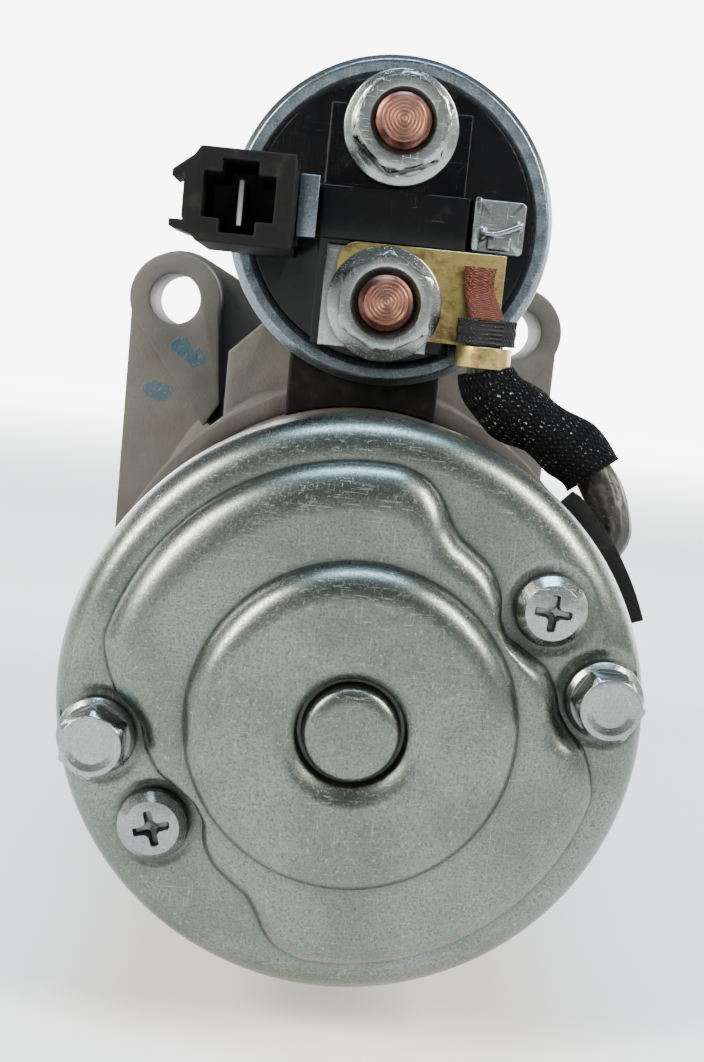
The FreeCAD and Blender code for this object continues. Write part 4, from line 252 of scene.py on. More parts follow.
class Wire:
    """A shader socket or number on which +, -, *, / and ** add Math nodes."""

    def __init__(self, finish, socket):
        self.finish = finish
        self.socket = socket

    def _math(self, operation, *values):
        return self.finish.node("ShaderNodeMath", {"operation": operation}, values)

    def __add__(self, other):
        return self._math("ADD", self, other)

    def __radd__(self, other):
        return self._math("ADD", other, self)

    def __sub__(self, other):
        return self._math("SUBTRACT", self, other)

    def __rsub__(self, other):
        return self._math("SUBTRACT", other, self)

    def __mul__(self, other):
        return self._math("MULTIPLY", self, other)

    def __rmul__(self, other):
        return self._math("MULTIPLY", other, self)

    def __truediv__(self, other):
        return self._math("DIVIDE", self, other)

    def __rtruediv__(self, other):
        return self._math("DIVIDE", other, self)

    def __pow__(self, other):
        return self._math("POWER", self, other)

    def __rpow__(self, other):
        return self._math("POWER", other, self)

    def wave(self):
        """The sine of the value."""
        return self._math("SINE", self)

    def size(self):
        """The value without its sign."""
        return self._math("ABSOLUTE", self)

    def larger(self, other):
        """The larger of two values."""
        return self._math("MAXIMUM", self, other)

    def step(self, low, high):
        """0 below low, 1 above high and a smooth rise between them."""
        return self.finish.node("ShaderNodeMapRange", {"interpolation_type": "SMOOTHSTEP"},
                                {"Value": self, "From Min": low, "From Max": high}, "Result")


class Finish:
    """One material being built: object places, patterns, mixes and the shader they feed."""

    def __init__(self, name, **constants):
        self.material = bpy.data.materials.new(name)
        self.material.use_nodes = True
        self.tree = self.material.node_tree
        self.shader = self.tree.nodes["Principled BSDF"]
        for socket, value in constants.items():
            self.shader.inputs[socket.replace("_", " ")].default_value = value
        self.places = {}

    def node(self, kind, settings=None, values=(), give=0):
        """Adds any node: its settings first, then the values or links of its sockets; returns an output."""
        node = self.tree.nodes.new(kind)
        for setting, value in (settings or {}).items():
            if setting == "stops":
                for _ in range(len(value) - 2):
                    node.color_ramp.elements.new(0.5)
                for element, (position, colour) in zip(node.color_ramp.elements, value):
                    element.position = position
                    element.color = colour
            else:
                setattr(node, setting, value)
        pairs = values.items() if isinstance(values, dict) else enumerate(values)
        for socket, value in pairs:
            if isinstance(value, Wire):
                self.tree.links.new(value.socket, node.inputs[socket])
            else:
                node.inputs[socket].default_value = value
        return Wire(self, node.outputs[give])

    def place(self, stretch=(1.0, 1.0, 1.0), shift=(0.0, 0.0, 0.0)):
        """Object coordinates in millimetres, stretched by a factor along each axis."""
        key = (stretch, shift)
        if key not in self.places:
            raw = self.node("ShaderNodeTexCoord", give="Object")
            scale = tuple(factor / MM for factor in stretch)
            self.places[key] = self.node("ShaderNodeMapping", {"vector_type": "POINT"},
                                         {"Vector": raw, "Scale": scale, "Location": shift})
        return self.places[key]

    def noise(self, size, detail=2.0, stretch=(1.0, 1.0, 1.0), roughness=0.5, distortion=0.0):
        """Cloudy noise from 0 to 1 with spots of about the given size in millimetres."""
        return self.node("ShaderNodeTexNoise", {"noise_dimensions": "3D"},
                         {"Vector": self.place(stretch), "Scale": 1.0 / size, "Detail": detail,
                          "Roughness": roughness, "Distortion": distortion})

    def cells(self, size, stretch=(1.0, 1.0, 1.0)):
        """Distance to the nearest of scattered points that lie about one size apart."""
        return self.node("ShaderNodeTexVoronoi", {"feature": "F1"},
                         {"Vector": self.place(stretch), "Scale": 1.0 / size})

    def scratches(self, length, width, keep=0.7, stretch_axis=0):
        """Sparse thin streaks: long noise cut off near the top of its range."""
        stretch = [1.0 / width, 1.0 / width, 1.0 / width]
        stretch[stretch_axis] = 1.0 / length
        bend = self.noise(length * 2.0, 1.0)
        streak = self.node("ShaderNodeTexNoise", {"noise_dimensions": "3D"},
                           {"Vector": self.place(tuple(stretch)), "Scale": 1.0, "Detail": 1.0,
                            "Distortion": bend * 2.0})
        return streak.step(keep, keep + 0.06)

    def mix(self, share, first, second):
        """Colour between two colours."""
        values = {"Factor": share, "A": first, "B": second}
        node = self.tree.nodes.new("ShaderNodeMix")
        node.data_type = "RGBA"
        sockets = {"Factor": node.inputs[0], "A": node.inputs[6], "B": node.inputs[7]}
        for key, value in values.items():
            if isinstance(value, Wire):
                self.tree.links.new(value.socket, sockets[key])
            else:
                sockets[key].default_value = value if key == "Factor" else tuple(value) + (1.0,)
        return Wire(self, node.outputs[2])

    def rounded(self, radius):
        """The surface normal with edges rounded over a radius in millimetres."""
        return self.node("ShaderNodeBevel", {"samples": 4}, {"Radius": radius * MM})

    def edges(self, radius):
        """1 on an outer or inner edge and 0 on open faces."""
        plain = self.node("ShaderNodeNewGeometry", give="Normal")
        same = self.node("ShaderNodeVectorMath", {"operation": "DOT_PRODUCT"},
                         [self.rounded(radius), plain], "Value")
        return (1.0 - same).step(0.02, 0.2)

    def shelter(self, reach):
        """1 on open faces, falling towards 0 in creases narrower than reach in millimetres."""
        return self.node("ShaderNodeAmbientOcclusion", {"samples": 6}, {"Distance": reach * MM}, "AO")

    def bump(self, height, depth, radius=0.0):
        """Normal raised by a height in millimetres times depth, over rounded edges if radius is set."""
        values = {"Height": height, "Strength": 1.0, "Distance": depth * MM}
        if radius:
            values["Normal"] = self.rounded(radius)
        return self.node("ShaderNodeBump", values=values)

    def feed(self, **sockets):
        """Links or sets sockets of the shader and returns the finished material."""
        for socket, value in sockets.items():
            target = self.shader.inputs[socket.replace("_", " ")]
            if isinstance(value, Wire):
                self.tree.links.new(value.socket, target)
            else:
                target.default_value = value
        return self.material


# ---------------------------------------------------------------- finishes

def plated(name, base, tint, roughness, speckle, radius=0.0):
    """Zinc plate: dark grain a fifth of a millimetre across, tarnish clouds, scratches, and painted shade in its
    creases.
    """
    f = Finish(name, Metallic=1.0)
    crystal = f.noise(0.34, 3.0, roughness=0.75)
    cloud = f.noise(14.0, 3.0)
    marks = f.scratches(5.0, 0.12, 0.66).larger(f.scratches(7.0, 0.14, 0.68, 2))
    pits = (1.0 - f.cells(3.4).step(0.04, 0.09)) * cloud.step(0.45, 0.6)
    # painted shade: the occlusion of nearby faces darkens the creases
    crease_shade = 1.0 - f.shelter(2.2).step(0.35, 0.85)
    colour = f.mix(cloud.step(0.35, 0.7), base, tint)
    colour = f.mix(crystal.step(0.46, 0.64) * speckle * 0.75, colour, [c * 0.42 for c in base])
    glitter = f.noise(0.5, 2.0).step(0.62, 0.7) * speckle * 0.5
    colour = f.mix(glitter, colour, [min(1.0, c * 1.6) for c in base])
    # real pits and the painted crease shade both darken the colour here
    colour = f.mix((pits * 0.6).larger(crease_shade * 0.75), colour, [c * 0.2 for c in base])
    colour = f.mix(marks * 0.5, colour, [min(1.0, c * 1.9) for c in base])
    rough = roughness + (crystal - 0.5) * 0.26 * speckle + cloud * 0.08 + marks * 0.12 + crease_shade * 0.2
    height = crystal * speckle + marks * -0.6 - pits * 0.5
    return f.feed(Base_Color=colour, Roughness=rough, Normal=f.bump(height, 0.012, radius))


def cast_metal(name, base, paint):
    """Sand-grained casting with painted shade darkening its hollows, bright rubbed edges and paint dabs."""
    f = Finish(name)
    grain = f.noise(0.5, 4.0, roughness=0.65)
    # painted shade: the occlusion of nearby faces darkens the hollows
    crease_shade = 1.0 - f.shelter(5.0).step(0.3, 0.9)
    swell = f.noise(6.0, 3.0)
    stain = f.noise(18.0, 4.0, distortion=0.6)
    edge = f.edges(0.7) * f.noise(3.0, 3.0).step(0.35, 0.6)
    colour = f.mix(stain.step(0.4, 0.75), base, [base[0] * 0.72, base[1] * 0.70, base[2] * 0.66])
    colour = f.mix(grain.step(0.52, 0.8) * 0.45, colour, [c * 0.5 for c in base])
    # painted shade laid into the colour of the hollows
    colour = f.mix(crease_shade * 0.75, colour, [base[0] * 0.30, base[1] * 0.27, base[2] * 0.24])
    colour = f.mix(edge * 0.6, colour, [min(1.0, c * 1.35) for c in base])
    dabs = None
    for x, z, width, height in ((-38.4, 43.6, 3.2, 2.8), (-35.4, 41.6, 3.2, 2.8), (-44.2, 33.2, 4.8, 2.9)):
        centred = f.place((1.0 / width, 0.0, 1.0 / height), (-x / width, 0.0, -z / height))
        reach = f.node("ShaderNodeVectorMath", {"operation": "LENGTH"}, [centred], "Value")
        dab = 1.0 - (reach + f.noise(2.2, 3.0, roughness=0.7) * 1.5).step(1.35, 1.5)
        dabs = dab if dabs is None else dabs.larger(dab)
    facing = f.node("ShaderNodeNewGeometry", give="Normal")
    faces_back = f.node("ShaderNodeSeparateXYZ", values=[facing], give="Y")
    dabs = dabs * (0.0 - faces_back).step(0.4, 0.8) * f.noise(1.1, 2.0).step(0.3, 0.45)
    colour = f.mix(dabs * 0.85, colour, paint)
    rough = 0.52 + grain * 0.16 - edge * 0.15 - dabs * 0.08
    height = grain * 0.5 + swell * 2.0 + dabs * 0.3
    return f.feed(Base_Color=colour, Roughness=rough, Metallic=0.45 - dabs * 0.4,
                  Normal=f.bump(height, 0.16, 0.8))


def machined(name, base, roughness, ring=0.35):
    """Turned or ground steel: fine rings about the motor's axis, oil stain and polished edges."""
    f = Finish(name, Metallic=1.0)
    apart = f.node("ShaderNodeSeparateXYZ", values=[f.place()], give="Y")
    lines = (apart * (TURN / ring) + f.noise(3.0, 2.0) * 4.0).wave() * 0.5 + 0.5
    cloud = f.noise(7.0, 4.0)
    edge = f.edges(0.25)
    colour = f.mix(cloud.step(0.4, 0.75), base, [base[0] * 0.62, base[1] * 0.58, base[2] * 0.52])
    colour = f.mix(edge * 0.6, colour, [min(1.0, c * 1.4) for c in base])
    rough = roughness + lines * 0.06 + cloud * 0.14 - edge * 0.1
    return f.feed(Base_Color=colour, Roughness=rough, Normal=f.bump(lines + f.noise(0.4, 3.0), 0.006, 0.2))


def dark_iron(name, base):
    """Phosphated or laminated iron: fine dark grain with bright worn edges."""
    f = Finish(name, Metallic=0.85)
    grain = f.noise(0.3, 4.0, roughness=0.7)
    wear = f.edges(0.35) * f.noise(1.6, 3.0).step(0.4, 0.6)
    colour = f.mix(grain, [c * 0.6 for c in base], [c * 1.3 for c in base])
    colour = f.mix(wear, colour, (0.5, 0.49, 0.47))
    rough = 0.5 + grain * 0.2 - wear * 0.2
    return f.feed(Base_Color=colour, Roughness=rough, Normal=f.bump(grain, 0.02, 0.25))


def painted(name, base, scuff):
    """Thin dull coat over steel, rubbed through at edges and scraped lengthwise."""
    f = Finish(name)
    peel = f.noise(1.4, 2.0)
    dust = f.noise(9.0, 4.0, distortion=0.4)
    scrape = f.scratches(9.0, 0.3, 0.66, 1)
    bare = (f.edges(0.5) * 0.7).larger(scrape * 0.8)
    colour = f.mix(dust.step(0.35, 0.7), base, [c * 0.66 for c in base])
    colour = f.mix(bare, colour, scuff)
    return f.feed(Base_Color=colour, Roughness=0.5 + dust * 0.18 - bare * 0.15, Metallic=bare * 0.9 + 0.25,
                  Normal=f.bump(peel - bare * 1.5, 0.03, 0.4))


def coloured_metal(name, base, dark, bright, roughness, streak=0, radius=0.25):
    """Copper, brass or bronze: drawn grain, brown tarnish in clouds and bright touched edges."""
    f = Finish(name, Metallic=1.0)
    stretch = [1.0, 1.0, 1.0]
    stretch[streak] = 0.12
    drawn = f.noise(0.25, 3.0, tuple(stretch))
    tarnish = f.noise(2.6, 5.0, roughness=0.65)
    edge = f.edges(radius)
    colour = f.mix(tarnish.step(0.42, 0.72), base, dark)
    colour = f.mix(drawn.step(0.55, 0.8) * 0.3, colour, bright)
    colour = f.mix(edge * 0.7, colour, bright)
    rough = roughness + tarnish * 0.22 + drawn * 0.08 - edge * 0.1
    return f.feed(Base_Color=colour, Roughness=rough, Normal=f.bump(drawn + tarnish * 0.8, 0.02, radius))


def moulded(name, base, roughness, grain_depth, dusty, sheen=0.5, radius=0.3):
    """Moulded plastic or resin: faint flow waves, fine grain, pale dust and handling marks."""
    f = Finish(name, Specular_IOR_Level=sheen)
    grain = f.noise(0.18, 2.0)
    flow = f.noise(5.0, 2.0)
    dust = f.noise(3.5, 5.0, roughness=0.7).step(0.52, 0.85)
    marks = f.scratches(4.0, 0.07, 0.73, 2).larger(f.scratches(6.0, 0.07, 0.74, 0))
    edge = f.edges(radius)
    colour = f.mix(dust * dusty, base, (0.30, 0.29, 0.27))
    colour = f.mix(edge * 0.10 + marks * 0.12, colour, [c + 0.08 for c in base])
    rough = roughness + grain * 0.05 + dust * 0.2 + marks * 0.15
    height = grain * grain_depth + flow * 1.5 - marks * 0.4
    return f.feed(Base_Color=colour, Roughness=rough, Normal=f.bump(height, 0.02, radius))


def rubbery(name, base):
    """Moulded rubber: dull, finely grained, with a grey bloom."""
    f = Finish(name, Specular_IOR_Level=0.12)
    grain = f.noise(0.25, 3.0, roughness=0.7)
    bloom = f.noise(2.5, 4.0).step(0.45, 0.8)
    pits = 1.0 - f.cells(0.8).step(0.06, 0.18)
    colour = f.mix(bloom * 0.5, base, [c + 0.02 for c in base])
    return f.feed(Base_Color=colour, Roughness=0.62 + grain * 0.2,
                  Normal=f.bump(grain - pits * 0.8, 0.05, 0.2))


def woven(name, base, glint_colour, lay_pitch, crossings, metallic=0.0, sheen=0.3):
    """Braided yarn: two sets of strands cross on the piece's own lay, with painted glints on the crowns."""
    f = Finish(name, Metallic=metallic, Specular_IOR_Level=sheen)
    lay = f.node("ShaderNodeUVMap", {"uv_map": "lay"})
    along = f.node("ShaderNodeSeparateXYZ", values=[lay], give="X")
    around = f.node("ShaderNodeSeparateXYZ", values=[lay], give="Y")
    one = (along * (TURN / lay_pitch) + around * (TURN * crossings)).wave()
    other = (along * (TURN / lay_pitch) - around * (TURN * crossings)).wave()
    weave = (one.size() * 0.5 + other.size() * 0.5 + one * other * 0.35) * 0.8
    fibre = f.noise(0.12, 3.0, roughness=0.7)
    crown = weave.step(0.4, 0.8)
    glint = f.noise(0.26, 2.0, roughness=0.8).step(0.60, 0.68) * crown
    patch = f.noise(5.0, 2.0).step(0.38, 0.6)
    colour = f.mix(weave * 0.5 + fibre * 0.3, [c * 0.3 for c in base], [c * 1.5 for c in base])
    # painted glints: pale colour laid on the crowns of the weave, in patches
    colour = f.mix(glint * (patch * 0.85 + 0.15), colour, glint_colour)
    rough = 0.75 - crown * 0.15 - glint * 0.25 + fibre * 0.1
    return f.feed(Base_Color=colour, Roughness=rough, Normal=f.bump(weave * 3.0 + fibre, 0.14))


def hose(name, base):
    """Varnished tube over the strands: lengthwise creases and a soft brown shine."""
    f = Finish(name, Specular_IOR_Level=0.45)
    lay = f.node("ShaderNodeUVMap", {"uv_map": "lay"})
    around = f.node("ShaderNodeSeparateXYZ", values=[lay], give="Y")
    cloud = f.noise(2.0, 4.0)
    strand = (around * (TURN * 11.0) + cloud * 5.0).wave() * 0.5 + 0.5
    scuff = f.noise(0.5, 4.0, roughness=0.7).step(0.55, 0.75)
    colour = f.mix(strand * 0.6 + cloud * 0.3, [c * 0.5 for c in base], [c * 1.7 for c in base])
    colour = f.mix(scuff * 0.35, colour, [c * 3.0 for c in base])
    return f.feed(Base_Color=colour, Roughness=0.42 + scuff * 0.25, Normal=f.bump(strand + scuff, 0.10))


def ferrite(name, base):
    """Sintered stone-like solid: matte, finely speckled, with pale chips at its edges."""
    f = Finish(name)
    grain = f.noise(0.2, 3.0, roughness=0.8)
    chips = f.edges(0.4) * f.noise(1.2, 3.0).step(0.5, 0.65)
    colour = f.mix(grain.step(0.4, 0.7), base, [c * 1.9 for c in base])
    colour = f.mix(chips, colour, [c + 0.15 for c in base])
    return f.feed(Base_Color=colour, Roughness=0.58 + grain * 0.22, Metallic=0.2,
                  Normal=f.bump(grain - chips, 0.02, 0.3))


def make_finishes(colours):
    """All the finishes of the motor, by the record's material slot."""
    zinc = tuple(colours.zinc)
    greener = [c * s for c, s in zip(zinc, (0.66, 0.74, 0.66))]
    return {
        "zinc_steel": plated("pressed_zinc", zinc, greener, 0.25, 1.0),
        "nut_zinc": plated("bright_zinc", (0.25, 0.265, 0.255), (0.18, 0.205, 0.195), 0.20, 0.6, 0.15),
        "zinc_dark": plated("can_zinc", (0.15, 0.18, 0.195), (0.12, 0.145, 0.165), 0.25, 0.8),
        "cast_aluminium": cast_metal("cast_aluminium", tuple(colours.casting), tuple(colours.paint)),
        "steel": machined("machined_steel", (0.34, 0.335, 0.32), 0.24),
        "dark_iron": dark_iron("dark_iron", (0.09, 0.088, 0.085)),
        "yoke_paint": painted("yoke_coat", (0.085, 0.072, 0.056), (0.26, 0.25, 0.22)),
        "bronze": coloured_metal("bearing_bronze", (0.38, 0.24, 0.11), (0.18, 0.11, 0.06),
                                 (0.6, 0.42, 0.22), 0.38),
        "copper": coloured_metal("bare_copper", (0.20, 0.09, 0.066), (0.05, 0.022, 0.018),
                                 (0.55, 0.28, 0.20), 0.26),
        "copper_braid": woven("copper_braid", (0.17, 0.062, 0.045), (0.75, 0.42, 0.32),
                              0.8, 9.0, 0.85, 0.5),
        "brass": coloured_metal("brass", (0.33, 0.26, 0.095), (0.12, 0.075, 0.03), (0.75, 0.64, 0.34), 0.22),
        "cap_plastic": moulded("cap_resin", tuple(colours.cap), 0.12, 0.15, 0.02, 0.14),
        "plug_plastic": moulded("plug_nylon", (0.0045, 0.0045, 0.0045), 0.42, 1.2, 0.06, 0.10),
        "nylon": moulded("natural_nylon", (0.45, 0.42, 0.34), 0.42, 0.5, 0.1),
        "rubber": rubbery("rubber", (0.0045, 0.0045, 0.0045)),
        "sleeve_weave": woven("woven_sleeve", (0.003, 0.003, 0.0035), (0.55, 0.57, 0.60),
                              2.2, 18.0, sheen=0.06),
        "tape": woven("collar_tape", (0.005, 0.005, 0.0055), (0.16, 0.16, 0.17), 1.2, 16.0),
        "lead_braid": hose("varnished_lead", (0.008, 0.0065, 0.0055)),
        "magnet": ferrite("ferrite", (0.035, 0.035, 0.038)),
        "carbon": ferrite("brush_carbon", (0.04, 0.032, 0.028)),
        "spring_steel": machined("spring_wire", (0.28, 0.28, 0.28), 0.26, 0.15),
    }


FINISHES = {}


# ---------------------------------------------------------------- sizes a user would change

class StarterSizes(bpy.types.PropertyGroup):
    """Sizes of the detail, in millimetres unless a unit is shown."""

    cover_wall: bpy.props.FloatProperty(
        name="Cover wall", description="Sheet thickness of the end cover, in mm",
        default=1.2, min=0.5, max=3.0)
    cover_corner: bpy.props.FloatProperty(
        name="Cover corner", description="Outside radius of the cover's rim, in mm",
        default=5.0, min=1.0, max=8.0)
    lobe_radius: bpy.props.FloatProperty(
        name="Lobe radius", description="Reach of the two raised lobes, in mm",
        default=33.8, min=25.0, max=36.0)
    lobe_height: bpy.props.FloatProperty(
        name="Lobe height", description="How far the lobes stand off the flange, in mm",
        default=4.5, min=1.0, max=8.0)
    shoulder: bpy.props.FloatProperty(
        name="Shoulder", description="Width of a lobe's rounded shoulder, in mm",
        default=6.4, min=1.0, max=10.0)
    dome_foot: bpy.props.FloatProperty(
        name="Dome foot", description="Radius of the round dome at its foot, in mm",
        default=21.5, min=15.0, max=25.0)
    groove_radius: bpy.props.FloatProperty(
        name="Groove radius", description="Outer radius of the groove round the button, in mm", default=9.8,
        min=8.0, max=14.0)
    button_radius: bpy.props.FloatProperty(
        name="Button radius", description="Radius of the pressed button, in mm",
        default=6.1, min=4.0, max=7.6)
    bolt_flats: bpy.props.FloatProperty(
        name="Bolt flats", description="Through bolt size across flats, in mm",
        default=8.0, min=5.0, max=10.0)
    nut_flats: bpy.props.FloatProperty(
        name="Nut flats", description="Terminal nut size across flats, in mm",
        default=13.0, min=8.0, max=15.0)
    thread_pitch: bpy.props.FloatProperty(
        name="Thread pitch", description="Pitch of the terminal studs, in mm", default=1.25, min=0.5, max=2.0)


class StarterColours(bpy.types.PropertyGroup):
    """Colours of the main finishes."""

    zinc: bpy.props.FloatVectorProperty(
        name="Zinc", description="Plated sheet of the end cover",
        default=(0.145, 0.158, 0.143), subtype="COLOR",
        min=0.0, max=1.0)
    casting: bpy.props.FloatVectorProperty(
        name="Casting", description="Aluminium of the drive-end bracket", default=(0.080, 0.076, 0.066),
        subtype="COLOR", min=0.0, max=1.0)
    paint: bpy.props.FloatVectorProperty(
        name="Paint dabs", description="Inspection paint on the bracket", default=(0.003, 0.034, 0.055),
        subtype="COLOR", min=0.0, max=1.0)
    cap: bpy.props.FloatVectorProperty(
        name="Cap", description="Resin of the solenoid's cap",
        default=(0.002, 0.002, 0.0024), subtype="COLOR",
        min=0.0, max=1.0)


class StarterStage(bpy.types.PropertyGroup):
    """Camera, floor and lamps."""

    eye: bpy.props.FloatVectorProperty(
        name="Eye", description="Where the camera stands", default=(-0.0072, -0.3127, 0.0490),
        subtype="TRANSLATION", unit="LENGTH")
    pitch: bpy.props.FloatProperty(
        name="Pitch", description="How far the camera looks down",
        default=math.radians(7.98), subtype="ANGLE")
    yaw: bpy.props.FloatProperty(
        name="Yaw", description="How far the camera turns to +X", default=math.radians(1.64), subtype="ANGLE")
    roll: bpy.props.FloatProperty(
        name="Roll", description="Tilt of the camera about its line of sight", default=math.radians(-5.72),
        subtype="ANGLE")
    lens: bpy.props.FloatProperty(
        name="Lens", description="Focal length in mm on a sensor 36 mm high", default=46.67, min=10.0)
    floor: bpy.props.FloatVectorProperty(
        name="Floor", description="Colour of the floor", default=(0.82, 0.82, 0.81), subtype="COLOR",
        min=0.0, max=1.0)


# ---------------------------------------------------------------- the end cover

WAIST = ((-13.0, 33.8), (-7.0, 32.4), (-2.0, 31.0), (2.0, 28.6), (7.0, 27.2), (14.0, 27.1), (20.0, 26.5),
         (26.0, 24.7), (33.0, 23.1), (40.0, 23.5), (46.0, 25.7), (53.0, 27.0), (59.0, 27.3), (65.0, 27.7),
         (69.0, 29.0), (74.0, 31.7), (78.0, 33.0), (84.0, 33.8))


def lobe_outline(around, lobe_radius):
    """Radius of the lobes' edge at each angle: a circle over each lobe and a waist between them.

    The waist is drawn through a few points and smoothed by a running mean, and the outline is the
    same again half a turn on.
    """
    fine = np.arange(0.0, 180.0, 0.25)
    angle, radius = np.array(WAIST).T
    radius = radius * lobe_radius / radius.max()
    drawn = np.interp((fine + 13.0) % 180.0, angle + 13.0, radius)
    window = np.hanning(25)
    padded = np.concatenate([drawn[-24:], drawn, drawn[:24]])
    smooth = np.convolve(padded, window / window.sum(), "same")[24:-24]
    return np.interp(np.degrees(around) % 180.0, fine, smooth, period=180.0)


def end_cover_rows(sizes, low, high, seats):
    """Rings of the pressed cover, from the button's middle outwards and back along the inside.

    Each zone runs between two guide curves that share their angle, so every crease follows a ring:
    button, groove, dome, dome shoulder, lobe, lobe shoulder, flange, rim corner and skirt. A
    shoulder's height is a quarter ellipse of the way in from its foot.
    """
    around = angles(440)
    rim = high[0]
    top, flange = low[1], low[1] + 9.0
    lobe_top = flange - sizes.lobe_height
    outline = lobe_outline(around, sizes.lobe_radius)
    dome_foot, dome_top = sizes.dome_foot, sizes.dome_foot - 4.5
    room = outline - dome_foot
    shoulder = np.minimum(sizes.shoulder, room * 0.75)
    one = np.ones_like(around)

    def zone(start, end, y_start, y_end, steps, rise):
        """Rings between two guides; rise(t) gives the share of the height gained at t of the way."""
        share = np.linspace(0.0, 1.0, steps, endpoint=False)[:, None]
        gained = rise(share)
        return start * (1.0 - share) + end * share, y_start * (1.0 - gained) + y_end * gained

    def level(share):
        return share

    def crown(share):
        """Starts level and ends in a steep fall, as a quarter ellipse does."""
        return 1.0 - np.sqrt(np.maximum(1.0 - share ** 2.0, 0.0))

    flat_end = (rim - sizes.cover_corner) * one
    flat_end = flat_end + np.maximum(outline + 0.6 - rim + sizes.cover_corner, 0.0)
    groove_floor = top + 3.0
    button_edge = sizes.button_radius
    zones = [
        zone(0.05 * one, (button_edge - 2.2) * one, top * one, (top + 0.02) * one, 8, level),
        zone((button_edge - 2.2) * one, button_edge * one, (top + 0.02) * one, (top + 1.3) * one, 14, crown),
        zone(button_edge * one, (button_edge + 0.25) * one, (top + 1.3) * one, groove_floor * one, 5, level),
        zone((button_edge + 0.25) * one, (button_edge + 0.7) * one, groove_floor * one, groove_floor * one,
             4, level),
        zone((button_edge + 0.7) * one, (button_edge + 0.95) * one, groove_floor * one, (top + 1.5) * one,
             5, level),
        zone((button_edge + 0.95) * one, sizes.groove_radius * one, (top + 1.5) * one, (top + 0.25) * one, 16,
             lambda share: np.sin(share * TURN / 4.0)),
        zone(sizes.groove_radius * one, dome_top * one, (top + 0.25) * one, (top + 0.25) * one, 14, level),
        zone(dome_top * one, dome_foot * one, (top + 0.25) * one, lobe_top * one, 26, crown),
        zone(dome_foot * one, outline - shoulder, lobe_top * one, lobe_top * one, 14, level),
        zone(outline - shoulder, outline, lobe_top * one, flange * one, 30, crown),
        zone(outline, flat_end, flange * one, flange * one, 12, level),
    ]
    radius = np.concatenate([r for r, _ in zones])
    depth = np.concatenate([y for _, y in zones])
    start = radius[-1]
    bend = np.linspace(0.0, TURN / 4.0, 22)[:, None]
    corner = rim - start
    radius = np.concatenate([radius, start + corner * np.sin(bend)])
    depth = np.concatenate([depth, flange + sizes.cover_corner * (1.0 - np.cos(bend)) + 0.0 * corner])
    skirt = np.linspace(depth[-1, 0] + 0.5, high[1], 6)[:, None]
    radius = np.concatenate([radius, rim * one + 0.0 * skirt])
    depth = np.concatenate([depth, skirt + 0.0 * one])
    x, z = radius * np.cos(around), radius * np.sin(around)
    for seat_x, seat_z, seat_radius in seats:
        away = np.hypot(x - seat_x, z - seat_z)
        sunk = np.clip((seat_radius + 1.2 - away) / 1.2, 0.0, 1.0)
        sunk = sunk * sunk * (3.0 - 2.0 * sunk) * (depth > flange - 0.8) * (radius < rim - 1.0)
        depth = depth + 0.35 * sunk
    outer = np.stack([x, depth, z], -1)
    inner = outer[::-4].copy()
    reach = np.hypot(inner[..., 0], inner[..., 2])
    inside = np.minimum(1.0, (rim - 1.3) / reach)
    shrink = np.where(reach > rim - 0.01, (rim - sizes.cover_wall) / rim, inside)
    inner[..., 0] *= shrink
    inner[..., 2] *= shrink
    inner[1:, :, 1] += sizes.cover_wall
    inner[:, :, 1] = np.minimum(inner[:, :, 1], high[1])
    return np.concatenate([outer, inner])


class STARTER_OT_end_cover(bpy.types.Operator):
    """Pressed and plated end cover with its two lobes, dome, groove and button"""

    bl_idname = "starter.end_cover"
    bl_label = "End cover"

    def execute(self, context):
        sizes = context.scene.starter_sizes
        low, high = span("end_cover")
        seats = []
        for node, reach in (("cover_screws", 5.2), ("through_bolts", 5.7)):
            for corner_low, corner_high in halves(node, 0):
                x, _, z = (corner_low + corner_high) / 2.0
                seats.append((x, z, reach))
        rows = end_cover_rows(sizes, low, high, seats)
        Solid().tube(rows).piece("pressed_cover", "housing", "zinc_steel", FINISHES["zinc_steel"],
                                 ("end_cover",), sharp=50.0)
        return {"FINISHED"}


# ---------------------------------------------------------------- screws, bolts, nuts and studs

def helix_radius(y, around, crest, root, pitch):
    """Thread radius: a triangle wave of the distance along the axis less one pitch for each turn."""
    phase = (y / pitch - around / TURN) % 1.0
    return root + (crest - root) * np.abs(2.0 * phase - 1.0)


def threaded(x, z, y_start, y_end, crest, root, pitch, steps=48):
    """Rings of a screw thread between two places on its axis, eight to a pitch."""
    around = angles(steps)
    count = max(8, int(abs(y_end - y_start) / pitch * 8.0))
    y = np.linspace(y_start, y_end, count)[:, None]
    radius = helix_radius(y, around, crest, root, pitch)
    return np.stack([x + radius * np.cos(around), y + 0.0 * around, z + radius * np.sin(around)], -1)


def hexagon_head(x, z, seat_y, top_y, flange_radius, flange_height, flats, turn, hollow):
    """Rings of a flanged hexagon head from its seat to the middle of its top, which is dished by hollow."""
    corner = flats / 2.0 / math.cos(TURN / 12.0)
    flange_y = seat_y - flange_height
    profile = filleted([
        (flange_radius - 0.5, seat_y, 0.0), (flange_radius, seat_y, 0.2),
        (flange_radius, seat_y - 0.7, 0.3), (flats / 2.0 + 0.5, flange_y, 0.4)], 5)
    under = [(corner + 0.02, flange_y), (corner + 0.01, flange_y - 0.2)]
    side = [(corner, y) for y in np.linspace(flange_y - 0.4, top_y + 0.9, 5)]
    chamfer = filleted([(corner, top_y + 0.75, 0.0), (flats / 2.0 - 0.1, top_y + 0.05, 0.3),
                        (flats / 2.0 - 0.7, top_y, 0.2), (flats * 0.30, top_y + hollow, 0.5),
                        (0.1, top_y + hollow, 0.0)], 6)
    rows = np.concatenate([profile, under, side, chamfer])
    flags = np.arange(len(rows)) >= len(profile)
    return hexagonal(rows, flags, x, z, flats, turn)


